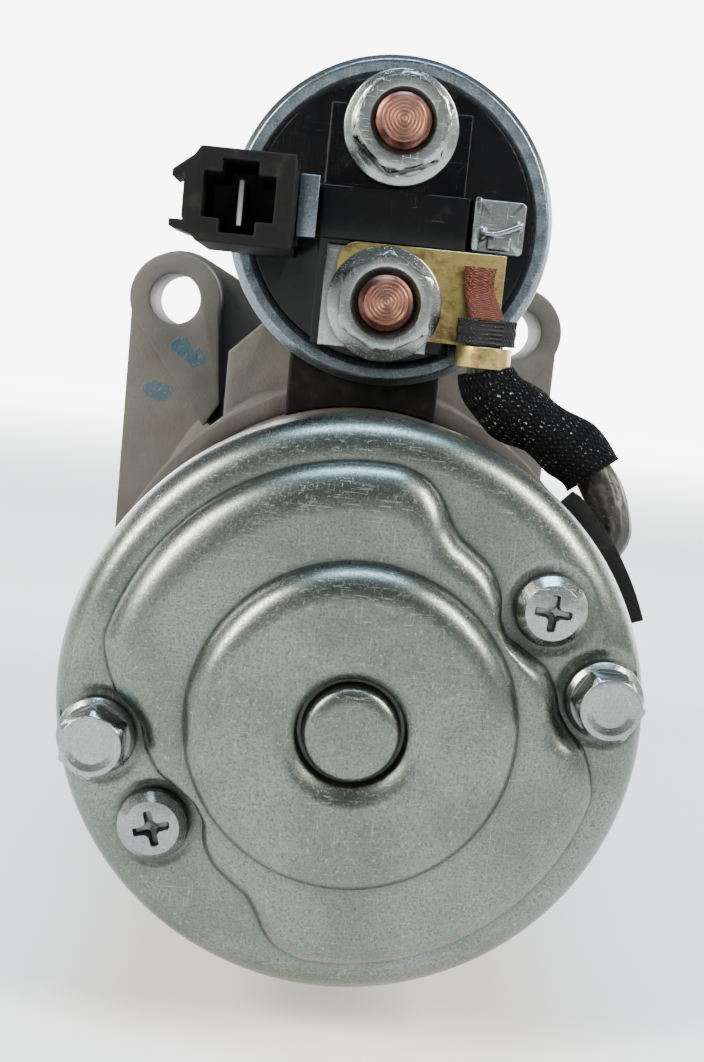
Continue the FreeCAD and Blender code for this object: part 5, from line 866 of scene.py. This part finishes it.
class STARTER_OT_through_bolts(bpy.types.Operator):
    """Two long bolts with flanged hexagon heads that clamp cover, yoke and bracket"""

    bl_idname = "starter.through_bolts"
    bl_label = "Through bolts"

    def execute(self, context):
        sizes = context.scene.starter_sizes
        solid = Solid()
        for (low, high), turn in zip(halves("through_bolts", 0), (30.0, 60.0)):
            x, _, z = (low + high) / 2.0
            seat = span("end_cover")[0][1] + 9.0
            shank = threaded(x, z, high[1], high[1] - 14.0, 2.5, 2.1, 0.8)
            plain = turned(np.array([(2.5, high[1] - 14.4), (2.5, seat + 0.02), (2.9, seat)]), x, z, 48)
            solid.tube(np.concatenate([shank, plain]))
            head = hexagon_head(x, z, seat, low[1], 5.2, 1.3, sizes.bolt_flats, turn, 0.35)
            solid.tube(head)
        solid.piece("flanged_bolts", "housing", "nut_zinc", FINISHES["nut_zinc"], ("through_bolts",))
        return {"FINISHED"}


def cross_recess(x, z, turn):
    """Depth of a cross recess at a point: four arms that narrow outwards and shallow towards their ends."""
    angle = math.radians(turn)
    a = x * math.cos(angle) + z * math.sin(angle)
    b = z * math.cos(angle) - x * math.sin(angle)
    long_way, short_way = np.maximum(np.abs(a), np.abs(b)), np.minimum(np.abs(a), np.abs(b))
    width = 0.62 - 0.05 * long_way
    arm = np.clip((width - short_way) / 0.16, 0.0, 1.0) * np.clip((2.45 - long_way) / 0.3, 0.0, 1.0)
    core = np.clip((1.25 - (long_way + short_way) * 0.80) / 0.3, 0.0, 1.0)
    inside = np.maximum(arm, core)
    return inside * np.clip(1.9 - 0.45 * long_way, 0.4, 1.9)


class STARTER_OT_cover_screws(bpy.types.Operator):
    """Two pan-head screws with cross recesses that hold the brush plate to the cover"""

    bl_idname = "starter.cover_screws"
    bl_label = "Cover screws"

    def execute(self, context):
        solid = Solid()
        around = angles(120)
        seat = span("end_cover")[0][1] + 9.0
        for (low, high), turn in zip(halves("cover_screws", 0), (18.0, -4.0)):
            x, _, z = (low + high) / 2.0
            head_radius = (high[0] - low[0]) / 2.0
            solid.tube(threaded(x, z, high[1], seat + 0.02, 2.0, 1.65, 0.8))
            crown = seat - low[1]
            edge = filleted([(head_radius - 1.0, seat, 0.0), (head_radius, seat, 0.25),
                             (head_radius, seat - 0.9, 0.9),
                             (head_radius - 1.2, seat - crown * 0.86, 0.0)], 7)
            share = np.linspace(1.0, 0.02, 64)
            reach = (head_radius - 1.25) * share
            height = seat - crown * (0.86 + 0.14 * (1.0 - share ** 2))
            profile = np.concatenate([edge, np.stack([reach, height], -1)])
            radius, y = profile[:, :1], profile[:, 1:]
            grid_x, grid_z = radius * np.cos(around), radius * np.sin(around)
            y = y + cross_recess(grid_x, grid_z, turn)
            solid.tube(np.stack([x + grid_x, y, z + grid_z], -1))
        solid.piece("pan_screws", "housing", "nut_zinc", FINISHES["nut_zinc"], ("cover_screws",), sharp=40.0)
        return {"FINISHED"}


def nut_rows(x, z, seat_y, top_y, bore, flats, turn, flange_radius=0.0, chamfer=1.0):
    """Closed rings of a chamfered nut, with a flange under it if flange_radius is set."""
    corner = flats / 2.0 / math.cos(TURN / 12.0)
    sink = 1.3 - 0.7 * chamfer
    rows = [(bore, top_y + sink + 0.2), (bore + sink, top_y + 0.05), (bore + sink + 0.12, top_y),
            (max(flats / 2.0 - 0.6, bore + sink + 0.3), top_y),
            (flats / 2.0 - 0.15, top_y + 0.06), (flats / 2.0 + 0.3, top_y + 0.35 * chamfer),
            (corner, top_y + chamfer)]
    foot = seat_y - (1.6 if flange_radius else 1.0)
    rows += [(corner, y) for y in np.linspace(top_y + chamfer + 0.3, foot, 6)]
    flags = [False, False, False] + [True] * (len(rows) - 3)
    if flange_radius:
        flange = filleted([(flats / 2.0 + 0.25, seat_y - 1.5, 0.0), (flange_radius - 1.2, seat_y - 1.15, 0.8),
                           (flange_radius, seat_y - 0.75, 0.35), (flange_radius, seat_y, 0.2),
                           (bore + 0.3, seat_y, 0.0)], 5)
        rows += [tuple(point) for point in flange]
        flags += [False] * len(flange)
    else:
        rows += [(corner - 0.1, seat_y - 0.6), (flats / 2.0, seat_y - 0.1), (flats / 2.0 - 0.4, seat_y),
                 (bore + 0.3, seat_y)]
        flags += [True, True, False, False]
    return hexagonal(np.array(rows), np.array(flags), x, z, flats, turn)


class STARTER_OT_terminal_nuts(bpy.types.Operator):
    """Flanged nut of the battery terminal, plain nut and washer of the motor terminal"""

    bl_idname = "starter.terminal_nuts"
    bl_label = "Terminal nuts"

    def execute(self, context):
        sizes = context.scene.starter_sizes
        bore = 4.05
        low, high = span("b_nut")
        z = (low[2] + high[2]) / 2.0
        rows = nut_rows(0.0, z, high[1], low[1], bore, sizes.nut_flats, 20.0, high[0])
        Solid().ring(rows).piece("battery_nut", "housing", "nut_zinc", FINISHES["nut_zinc"], ("b_nut",))
        low, high = span("m_nut")
        z = (low[2] + high[2]) / 2.0
        rows = nut_rows(0.0, z, high[1], low[1], bore, sizes.nut_flats, 30.0, chamfer=0.45)
        Solid().ring(rows).piece("motor_nut", "housing", "nut_zinc", FINISHES["nut_zinc"], ("m_nut",))
        low, high = span("m_washer")
        corners = [(4.3, low[1] + 0.2, 0.0), (4.3, low[1], 0.1), (high[0] - 1.6, low[1], 0.3),
                   (high[0], low[1] + 0.45, 0.3), (high[0], high[1], 0.2), (4.3, high[1], 0.1)]
        rows = turned(filleted(corners + [(4.3, low[1] + 0.6, 0.0)], 4), 0.0, z)
        Solid().ring(rows).piece("motor_washer", "housing", "nut_zinc", FINISHES["nut_zinc"], ("m_washer",))
        return {"FINISHED"}


class STARTER_OT_studs(bpy.types.Operator):
    """Copper terminal studs with rolled threads and turned rings on their tips"""

    bl_idname = "starter.studs"
    bl_label = "Terminal studs"

    def execute(self, context):
        sizes = context.scene.starter_sizes
        solid = Solid()
        for low, high in halves("terminal_bolts", 2):
            z = (low[2] + high[2]) / 2.0
            crest, root = 3.98, 3.45
            tip, head = low[1], high[1] - 2.6
            face = np.linspace(2.9, 0.05, 44)
            ridges = tip + 0.25 + 0.09 * np.cos(face * TURN / 0.52) - 0.25 * np.cos(face / 2.9 * TURN / 4.0)
            end = np.concatenate([[(root, tip + 0.75), (3.25, tip + 0.45), (3.05, tip + 0.16)],
                                  np.stack([face, ridges], -1)])
            thread = threaded(0.0, z, head, tip + 1.0, crest, root, sizes.thread_pitch, 72)
            solid.tube(np.concatenate([thread, turned(end, 0.0, z, 72)]))
            outline = rounded_outline(low[0], high[0], z - 5.0, z + 5.0, 1.2)
            solid.tube(slab(outline, high[1] - 2.7, high[1], 0.4))
        solid.piece("copper_studs", "housing", "copper", FINISHES["copper"], ("terminal_bolts",))
        return {"FINISHED"}


# ---------------------------------------------------------------- the solenoid

def rounded_outline(x_low, x_high, z_low, z_high, radius, steps=8):
    """Closed outline of a rectangle with rounded corners, as (m, 2) points."""
    corners = ((x_high - radius, z_high - radius, 0.0), (x_low + radius, z_high - radius, 0.25),
               (x_low + radius, z_low + radius, 0.5), (x_high - radius, z_low + radius, 0.75))
    runs = []
    for x, z, start in corners:
        around = (start + np.linspace(0.0, 0.25, steps)) * TURN
        runs.append(np.stack([x + radius * np.cos(around), z + radius * np.sin(around)], -1))
    return np.concatenate(runs)


class STARTER_OT_solenoid_can(bpy.types.Operator):
    """Plated solenoid can with its rolled rear rim and closed front"""

    bl_idname = "starter.solenoid_can"
    bl_label = "Solenoid can"

    def execute(self, context):
        low, high = span("solenoid_case")
        outer = high[0]
        z = (low[2] + high[2]) / 2.0
        rear, front = low[1], high[1]
        lip = 20.95
        corners = [
            (lip, rear + 2.0, 0.0), (lip, rear + 0.7, 0.3), (lip + 0.9, rear + 0.25, 0.4),
            (outer - 1.0, rear, 0.7), (outer, rear + 1.5, 1.2), (outer, rear + 4.2, 0.2),
            (outer - 0.35, rear + 4.7, 0.3), (outer - 0.35, rear + 5.6, 0.3), (outer, rear + 6.1, 0.3),
            (outer, front, 1.4), (9.8, front, 0.5), (9.8, front - 5.0, 0.3),
            (outer - 2.0, front - 5.0, 0.5), (outer - 2.0, rear + 2.0, 0.3), (lip + 0.4, rear + 2.0, 0.0)]
        rows = turned(filleted(corners, 7), 0.0, z, 192)
        around = angles(192)
        ripple = 0.05 * np.sin(around * 36.0) * np.exp(-((rows[..., 1] - rear - 0.4) / 0.8) ** 2)
        rows[..., 1] += ripple
        Solid().ring(rows).piece("solenoid_can", "housing", "zinc_dark", FINISHES["zinc_dark"],
                                 ("solenoid_case",))
        return {"FINISHED"}


# ---------------------------------------------------------------- the lead

LEAD_ROUTE = ((14.80, -113.0, 52.80), (14.80, -113.0, 45.09), (18.61, -113.0, 41.41), (23.94, -113.2, 38.91),
              (28.67, -113.8, 36.42), (32.40, -114.8, 33.21), (35.01, -115.8, 28.69), (36.21, -117.0, 22.63),
              (28.66, -117.0, 17.91))
SLEEVE_START_Z = 46.1
SLEEVE_END = (32.66, -114.9, 32.76)


def route_points(route, count):
    """Even points along the smooth line that has the route's points as its control points."""
    curve = bpy.data.curves.new("route", "CURVE")
    curve.dimensions = "3D"
    spline = curve.splines.new("NURBS")
    spline.points.add(len(route) - 1)
    flat = np.concatenate([np.array(route), np.ones((len(route), 1))], 1)
    spline.points.foreach_set("co", flat.ravel())
    spline.order_u = 3
    spline.use_endpoint_u = True
    spline.resolution_u = 24
    holder = bpy.data.objects.new("route", curve)
    bpy.context.scene.collection.objects.link(holder)
    line = bpy.data.meshes.new_from_object(holder.evaluated_get(bpy.context.evaluated_depsgraph_get()))
    points = np.zeros(len(line.vertices) * 3)
    line.vertices.foreach_get("co", points)
    points = points.reshape(-1, 3)
    bpy.data.objects.remove(holder)
    bpy.data.curves.remove(curve)
    bpy.data.meshes.remove(line)
    length = np.concatenate([[0.0], np.cumsum(np.linalg.norm(np.diff(points, axis=0), axis=1))])
    even = np.linspace(0.0, length[-1], count)
    return np.stack([np.interp(even, length, points[:, k]) for k in range(3)], -1), even


def swept(points, radius, steps, flat=1.0):
    """Rings about a line: radius is (n, m), flat squeezes them across the Y axis."""
    ahead = np.gradient(points, axis=0)
    ahead /= np.linalg.norm(ahead, axis=1, keepdims=True)
    side = np.cross(ahead, [0.0, 1.0, 0.0])
    side /= np.linalg.norm(side, axis=1, keepdims=True)
    depth = np.cross(side, ahead)
    around = angles(steps)
    return (points[:, None] + (radius * np.cos(around))[..., None] * side[:, None]
            + (radius * np.sin(around) * flat)[..., None] * depth[:, None])


class STARTER_OT_lead(bpy.types.Operator):
    """Braided lead in its woven sleeve, from the motor terminal to the yoke"""

    bl_idname = "starter.lead"
    bl_label = "Lead and sleeve"

    def execute(self, context):
        points, length = route_points(LEAD_ROUTE, 420)
        around = angles(96)
        sleeve_start = int(np.argmax(points[:, 2] < SLEEVE_START_Z))
        sleeve_end = int(np.linalg.norm(points - SLEEVE_END, axis=1).argmin())
        reach = length[:, None]
        end = length[sleeve_end]
        places = [0.0, end - 3.0, end + 2.0, end + 7.0, length[-1]]
        narrow = np.interp(reach, places, [2.6, 2.6, 2.95, 2.9, 2.5])
        strands = 0.05 * np.sin(reach * TURN / 5.0 + around * 11.0)
        Solid().tube(swept(points, narrow + strands, 96, 0.95)).piece(
            "motor_lead", "housing", "lead_braid", FINISHES["lead_braid"], ("lead",))
        cover = points[sleeve_start:sleeve_end]
        cover_length = reach[sleeve_start:sleeve_end]
        share = (cover_length - cover_length[0]) / (cover_length[-1] - cover_length[0])
        width = np.interp(share, [0.0, 0.10, 0.30, 0.52, 0.78, 0.93, 1.0],
                          [3.75, 4.3, 4.6, 4.15, 4.55, 4.45, 4.3])
        creases = 0.22 * np.sin(share * TURN * 2.6 + 1.3 * np.cos(around + 0.7)) * np.cos(around)
        yarn = 0.07 * np.abs(np.sin(cover_length * TURN / 2.2 + around * 18.0))
        yarn = yarn + 0.07 * np.abs(np.sin(cover_length * TURN / 2.2 - around * 18.0))
        frayed = 0.30 * np.sin(around * 7.0) * np.exp((cover_length - end) / 1.0)
        frayed = frayed + 0.12 * np.sin(around * 23.0 + 2.0) * np.exp((cover_length - end) / 0.6)
        outer = swept(cover, width + creases + yarn + frayed, 96, 0.92)
        inner = swept(cover, width + creases - 0.5, 96, 0.92)[::-3]
        Solid().ring(np.concatenate([outer, inner])).piece(
            "woven_sleeve", "housing", "sleeve_weave", FINISHES["sleeve_weave"], ("lead_sleeve",), sharp=60.0)
        return {"FINISHED"}


class STARTER_OT_braid(bpy.types.Operator):
    """Flat copper braid welded to the tab, and the taped collar where it enters the crimp"""

    bl_idname = "starter.braid"
    bl_label = "Copper braid and collar"

    def execute(self, context):
        low, high = span("braid_end")
        share = np.linspace(0.0, 1.0, 130)[:, None]
        around = angles(72)
        bend = np.clip((share - 0.42) / 0.58, 0.0, 1.0)
        middle_x = (low[0] + 2.3) * (1.0 - bend) + (high[0] - 2.6) * bend
        middle_y = (high[1] - 0.95) - 2.5 * bend ** 1.3
        z = high[2] - (high[2] - low[2]) * share
        half = 2.15 + 0.35 * bend + 0.25 * np.exp(-share / 0.04)
        thick = 0.88 - 0.12 * np.exp(-share / 0.06)
        shape_x = np.sign(np.cos(around)) * np.abs(np.cos(around)) ** 0.6
        shape_y = np.sign(np.sin(around)) * np.abs(np.sin(around)) ** 0.6
        length = share * (high[2] - low[2])
        plait = 0.10 * np.abs(np.sin(length * TURN / 2.2 + around * 5.0))
        plait = plait + 0.10 * np.abs(np.sin(length * TURN / 2.2 - around * 5.0)) - 0.12
        rows = np.stack([middle_x + (half + plait) * shape_x, middle_y + (thick + plait) * shape_y,
                         z + 0.0 * around], -1)
        rows[..., 1] = np.minimum(rows[..., 1], high[1])
        Solid().tube(rows).piece(
            "copper_braid", "housing", "copper", FINISHES["copper_braid"], ("braid_end",))
        low, high = span("sleeve_collar")
        outline = rounded_outline(low[0] + 0.1, high[0] - 0.1, low[1] + 0.1, high[1] - 0.05, 2.2, 24)
        hub = np.array([14.8, -113.0])
        bearing = np.arctan2(*(outline - hub).T[::-1])
        step = np.linspace(0.0, 1.0, 40)[:, None]
        height = low[2] + (high[2] - low[2]) * step + 0.0 * bearing
        ragged = 0.35 * np.sin(bearing * 9.0) + 0.25 * np.sin(bearing * 21.0 + 1.0)
        height = height - np.clip(ragged, 0.0, 1.0) * step ** 4
        yarn = 0.08 * np.abs(np.sin(step * 9.0 + bearing * 16.0)) - 0.12 * np.sin(step * math.pi * 2.0) ** 2
        away = outline - hub
        away = away / np.linalg.norm(away, axis=1, keepdims=True)
        plan = outline + away * (yarn[..., None] - 0.05)
        outer = np.concatenate([plan, height[..., None]], -1)
        hole = hub + away * 3.0
        inner = np.stack([hole[:, 0] + 0.0 * height, hole[:, 1] + 0.0 * height, height], -1)[::-4]
        Solid().ring(np.concatenate([outer, inner])).piece(
            "taped_collar", "housing", "plug_plastic", FINISHES["tape"], ("sleeve_collar",), sharp=60.0)
        return {"FINISHED"}


class STARTER_OT_coil_tab(bpy.types.Operator):
    """Folded tinned tab on the cap with the coil's wire soldered to it"""

    bl_idname = "starter.coil_tab"
    bl_label = "Coil tab"

    def execute(self, context):
        low, high = span("ground_tab")
        solid = Solid()
        floor_y = high[1] - 0.7
        outline = rounded_outline(low[0] + 0.3, high[0] + 1.2, low[2], high[2], 0.8)
        solid.tube(slab(outline, floor_y, high[1], 0.25))
        outline = rounded_outline(low[0], low[0] + 1.0, low[2], high[2], 0.45)
        solid.tube(slab(outline, low[1], high[1], 0.35))
        pad = rounded_outline(low[0] + 2.6, high[0] - 0.6, low[2] + 0.5, low[2] + 2.6, 0.5)
        solid.tube(slab(pad, floor_y - 0.45, floor_y + 0.2, 0.3))
        route = ((low[0] + 0.9, floor_y - 0.5, low[2] + 2.9), (low[0] + 2.4, floor_y - 1.5, low[2] + 2.6),
                 (low[0] + 4.4, floor_y - 1.1, low[2] + 2.9), (high[0] + 0.6, floor_y - 0.3, low[2] + 4.4))
        line, _ = route_points(route, 60)
        solid.tube(swept(line, np.full((60, 1), 0.42), 24))
        solder = ((low[0] + 1.5, low[2] + 2.9, 1.25, 1.3), (high[0] + 0.3, low[2] + 4.3, 0.8, 0.6))
        for x, z, reach, rise in solder:
            share = np.linspace(1.0, 0.03, 20)
            profile = np.stack([reach * share, floor_y + 0.1 - rise * np.sqrt(1.0 - share ** 2)], -1)
            blob = turned(profile, x, z, 40)
            solid.tube(blob)
        solid.piece("tinned_tab", "housing", "nut_zinc", FINISHES["nut_zinc"], ("ground_tab",))
        return {"FINISHED"}


# ---------------------------------------------------------------- castings and mouldings from the frame

# node, piece and rounding of its sharp edges in millimetres
ROUNDED = (
    ("front_bracket", "cast_bracket", 0.9),
    ("solenoid_cap", "moulded_cap", 0.55),
    ("s_connector", "plug_shell", 0.28),
    ("s_blade", "plug_blade", 0.16),
    ("m_lug", "crimp_lug", 0.16),
    ("m_plate", "terminal_plate", 0.16),
    ("side_clip", "retaining_clip", 0.2),
    ("grommet", "lead_grommet", 0.5),
    ("rubber_seal", "rubber_block", 0.8),
    ("yoke", "motor_tube", 0.25),
    ("shift_lever", "moulded_lever", 0.5),
    ("pinion", "cut_pinion", 0.25),
    ("clutch_shell", "clutch_drum", 0.35),
    ("shift_collar", "grooved_collar", 0.3),
    ("stop_collar", "pinion_stop", 0.3),
    ("solenoid_screws", "socket_screws", 0.25),
    ("lever_pivot_pin", "headed_pin", 0.35),
    ("nose_bush", "front_bush", 0.2),
    ("plunger", "iron_plunger", 0.3),
)


def rounded_copy(node, name, edge):
    """A copy of a node with its corners joined and its flat faces whole, every sharp edge rounded off."""
    mesh = frame["nodes"][node].data.copy()
    mesh.name = name
    work = bmesh.new()
    work.from_mesh(mesh)
    bmesh.ops.remove_doubles(work, verts=work.verts, dist=0.001 * MM)
    bmesh.ops.dissolve_limit(work, angle_limit=math.radians(0.5), verts=work.verts, edges=work.edges)
    least = math.radians(38.0)
    sharp = [line for line in work.edges if line.is_manifold and line.calc_face_angle(0.0) > least]
    bmesh.ops.bevel(work, geom=sharp, offset=edge * MM, segments=3, profile=0.5, affect="EDGES",
                    clamp_overlap=True)
    bmesh.ops.recalc_face_normals(work, faces=work.faces)
    work.to_mesh(mesh)
    work.free()
    mesh.polygons.foreach_set("use_smooth", np.ones(len(mesh.polygons), bool))
    mesh.set_sharp_from_angle(angle=math.radians(36.0))
    piece = bpy.data.objects.new(name, mesh)
    bpy.context.scene.collection.objects.link(piece)
    return piece


def chosen(node, name, keeps):
    """A copy of a node with its doubles merged that keeps the points for which keeps(points) is true."""
    mesh = frame["nodes"][node].data.copy()
    mesh.name = name
    work = bmesh.new()
    work.from_mesh(mesh)
    bmesh.ops.remove_doubles(work, verts=work.verts, dist=0.001 * MM)
    work.verts.ensure_lookup_table()
    points = np.array([point.co for point in work.verts]) / MM
    wanted = keeps(points)
    spare = [point for point, keep in zip(work.verts, wanted) if not keep]
    bmesh.ops.delete(work, geom=spare, context="VERTS")
    bmesh.ops.recalc_face_normals(work, faces=work.faces)
    work.to_mesh(mesh)
    work.free()
    mesh.polygons.foreach_set("use_smooth", np.ones(len(mesh.polygons), bool))
    mesh.set_sharp_from_angle(angle=math.radians(50.0))
    mesh.materials.clear()
    mesh.materials.append(FINISHES["spring_steel"])
    piece = bpy.data.objects.new(name, mesh)
    bpy.context.scene.collection.objects.link(piece)
    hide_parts(node)
    return piece, points[wanted]


class STARTER_OT_springs(bpy.types.Operator):
    """Plunger spring and four brush springs, each copied from the frame and given its body"""

    bl_idname = "starter.springs"
    bl_label = "Springs"

    def execute(self, context):
        travel = {joint["name"]: max(abs(end) for end in joint["range_m"]) / MM
                  for joint in frame["joints"] if joint["type"] == "slide" and "range_m" in joint}
        spring, points = chosen("return_spring", "plunger_spring", lambda p: p[:, 1] < np.inf)
        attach(spring, "plunger")
        low, high = points.min(axis=0), points.max(axis=0)
        keep = 1.0 - travel["plunger_slide"] / (high[1] - low[1])
        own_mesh(spring)
        for number, (axis, sign) in enumerate(((0, 1.0), (2, 1.0), (0, -1.0), (2, -1.0)), 1):
            other = 2 - axis

            def quarter(p, axis=axis, sign=sign, other=other):
                return p[:, axis] * sign > np.abs(p[:, other])

            spring, points = chosen("brush_springs", f"brush_spring_{number}", quarter)
            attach(spring, "housing")
            reach = points[:, axis] * sign
            joint = f"brush_{number}_lift"
            keep = 1.0 - travel[joint] / (reach.max() - reach.min())
            anchor = points.mean(axis=0)
            anchor[axis] = reach.max() * sign
            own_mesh(spring)
        return {"FINISHED"}


class STARTER_OT_rounded_parts(bpy.types.Operator):
    """Castings, mouldings and turned parts of the frame with their edges rounded"""

    bl_idname = "starter.rounded_parts"
    bl_label = "Rounded parts"

    def execute(self, context):
        record = frame["record"]
        slots = {part["node"]: part["material_slot"] for part in record["subparts"]}
        riders = {node: body for body, nodes in record["behaviour"]["bodies"].items() for node in nodes}
        for node, name, edge in ROUNDED:
            piece = rounded_copy(node, name, edge)
            piece.data.materials.clear()
            # painted shade: the side clip takes the darker can zinc because it sits in shadow
            piece.data.materials.append(FINISHES["zinc_dark" if node == "side_clip" else slots[node]])
            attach(piece, riders[node])
            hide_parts(node)
        return {"FINISHED"}


# ---------------------------------------------------------------- nodes kept from the frame

class STARTER_OT_finishes(bpy.types.Operator):
    """Builds the finishes and gives each node of the frame the one of its material slot"""

    bl_idname = "starter.finishes"
    bl_label = "Finishes"

    def execute(self, context):
        FINISHES.update(make_finishes(context.scene.starter_colours))
        for part in frame["record"]["subparts"]:
            mesh = frame["nodes"][part["node"]].data
            mesh.materials.clear()
            mesh.materials.append(FINISHES[part["material_slot"]])
        return {"FINISHED"}


# ---------------------------------------------------------------- stage

def lamp(name, place, target, size, power, colour):
    """A square soft lamp at a place in metres, turned to a target."""
    data = bpy.data.lights.new(name, "AREA")
    data.shape = "RECTANGLE"
    data.size, data.size_y = size
    data.energy = power
    data.color = colour
    lamp_object = bpy.data.objects.new(name, data)
    bpy.context.scene.collection.objects.link(lamp_object)
    lamp_object.location = place
    aim = Vector(target) - Vector(place)
    lamp_object.rotation_euler = aim.to_track_quat("-Z", "Y").to_euler()


class STARTER_OT_stage(bpy.types.Operator):
    """Camera, pale dished floor and soft studio lamps"""

    bl_idname = "starter.stage"
    bl_label = "Stage"

    def execute(self, context):
        stage = context.scene.starter_stage
        pitch, yaw, roll = stage.pitch, stage.yaw, stage.roll
        ahead = Vector((math.sin(yaw) * math.cos(pitch), math.cos(yaw) * math.cos(pitch), -math.sin(pitch)))
        right = Vector((math.cos(yaw), -math.sin(yaw), 0.0))
        up = right.cross(ahead)
        tilted_right = right * math.cos(roll) - up * math.sin(roll)
        tilted_up = right * math.sin(roll) + up * math.cos(roll)
        data = bpy.data.cameras.new("studio_camera")
        data.lens = stage.lens
        data.sensor_width = 36.0
        data.clip_start = 0.01
        data.clip_end = 50.0
        camera = bpy.data.objects.new("studio_camera", data)
        context.scene.collection.objects.link(camera)
        turn = Matrix((tilted_right, tilted_up, -ahead)).transposed().to_4x4()
        camera.matrix_world = Matrix.Translation(Vector(stage.eye)) @ turn
        context.scene.camera = camera

        floor_z = CAD_BOX[0][2] / MM
        radius = np.concatenate([[1.0], np.linspace(60.0, 1500.0, 25), np.linspace(1560.0, 3200.0, 40)])
        rise = np.clip((radius - 1500.0) / 1700.0, 0.0, 1.0) ** 2 * 1300.0
        around = angles(128)
        x, y = radius[:, None] * np.cos(around), radius[:, None] * np.sin(around)
        top = np.stack([x, y, floor_z + rise[:, None] + 0.0 * around], -1)
        below = top[::-1] - [0.0, 0.0, 4.0]
        mesh_points = np.concatenate([top, below])
        solid = Solid().tube(mesh_points)
        mesh = bpy.data.meshes.new("floor")
        faces = [face for group in solid.faces for face in group]
        mesh.from_pydata(np.concatenate(solid.points) * MM, [], faces)
        mesh.polygons.foreach_set("use_smooth", np.ones(len(faces), bool))
        mesh.materials.append(self.floor_paint(tuple(stage.floor)))
        floor = bpy.data.objects.new("floor", mesh)
        context.scene.collection.objects.link(floor)

        world = bpy.data.worlds.new("studio")
        world.use_nodes = True
        tree = world.node_tree
        sky = tree.nodes["Background"]
        sky.inputs["Color"].default_value = (0.90, 0.95, 1.0, 1.0)
        sky.inputs["Strength"].default_value = 0.36
        context.scene.world = world
        aim = (0.0, -0.1, 0.02)
        lamp("left_window", (-0.95, -0.62, 0.62), aim, (0.22, 0.75), 34.0, (1.0, 0.95, 0.85))
        lamp("right_window", (0.90, -0.58, 0.78), aim, (0.20, 0.65), 30.0, (1.0, 0.95, 0.85))
        lamp("skylight", (0.0, -0.25, 1.25), aim, (0.8, 0.35), 22.0, (0.50, 0.74, 1.0))
        return {"FINISHED"}

    @staticmethod
    def floor_paint(colour):
        """Matte paper with the faintest fibre, lit through from behind at the far side."""
        f = Finish("floor_paper", Emission_Strength=6.5)
        fibre = f.noise(2.0, 3.0)
        shade = f.mix(fibre * 0.3, colour, [c * 0.985 for c in colour])
        behind = f.node("ShaderNodeSeparateXYZ", values=[f.place()], give="Y").step(350.0, 1300.0)
        glow = f.mix(behind, (0.0, 0.0, 0.0), (1.0, 1.0, 1.0))
        return f.feed(Base_Color=shade, Roughness=0.9, Emission_Color=glow, Normal=f.bump(fibre, 0.02))


# ---------------------------------------------------------------- the add-on

OPERATORS = (
    STARTER_OT_stage, STARTER_OT_finishes, STARTER_OT_end_cover, STARTER_OT_through_bolts,
    STARTER_OT_cover_screws, STARTER_OT_solenoid_can, STARTER_OT_studs, STARTER_OT_terminal_nuts,
    STARTER_OT_lead, STARTER_OT_braid, STARTER_OT_coil_tab, STARTER_OT_rounded_parts,
    STARTER_OT_springs,
)


class STARTER_PT_panel(bpy.types.Panel):
    """Sizes, colours and one button for each group of pieces"""

    bl_idname = "STARTER_PT_panel"
    bl_label = "Starter motor"
    bl_space_type = "VIEW_3D"
    bl_region_type = "UI"
    bl_category = "Starter motor"

    def draw(self, context):
        scene = context.scene
        for group in (scene.starter_stage, scene.starter_colours, scene.starter_sizes):
            column = self.layout.column(align=True)
            for name in group.bl_rna.properties.keys():
                if name not in ("rna_type", "name"):
                    column.prop(group, name)
        for operator in OPERATORS:
            self.layout.operator(operator.bl_idname)


CLASSES = (StarterSizes, StarterColours, StarterStage) + OPERATORS + (STARTER_PT_panel,)


def register():
    for cls in CLASSES:
        bpy.utils.register_class(cls)
    bpy.types.Scene.starter_sizes = bpy.props.PointerProperty(type=StarterSizes)
    bpy.types.Scene.starter_colours = bpy.props.PointerProperty(type=StarterColours)
    bpy.types.Scene.starter_stage = bpy.props.PointerProperty(type=StarterStage)


def unregister():
    del bpy.types.Scene.starter_stage
    del bpy.types.Scene.starter_colours
    del bpy.types.Scene.starter_sizes
    for cls in reversed(CLASSES):
        bpy.utils.unregister_class(cls)


def main():
    """Builds everything in order."""
    register()
    for operator in OPERATORS:
        group, name = operator.bl_idname.split(".")
        result = getattr(getattr(bpy.ops, group), name)()
        if result != {"FINISHED"}:
            raise RuntimeError(f"{operator.bl_label} did not finish: {result}")


if __name__ == "__main__":
    main()
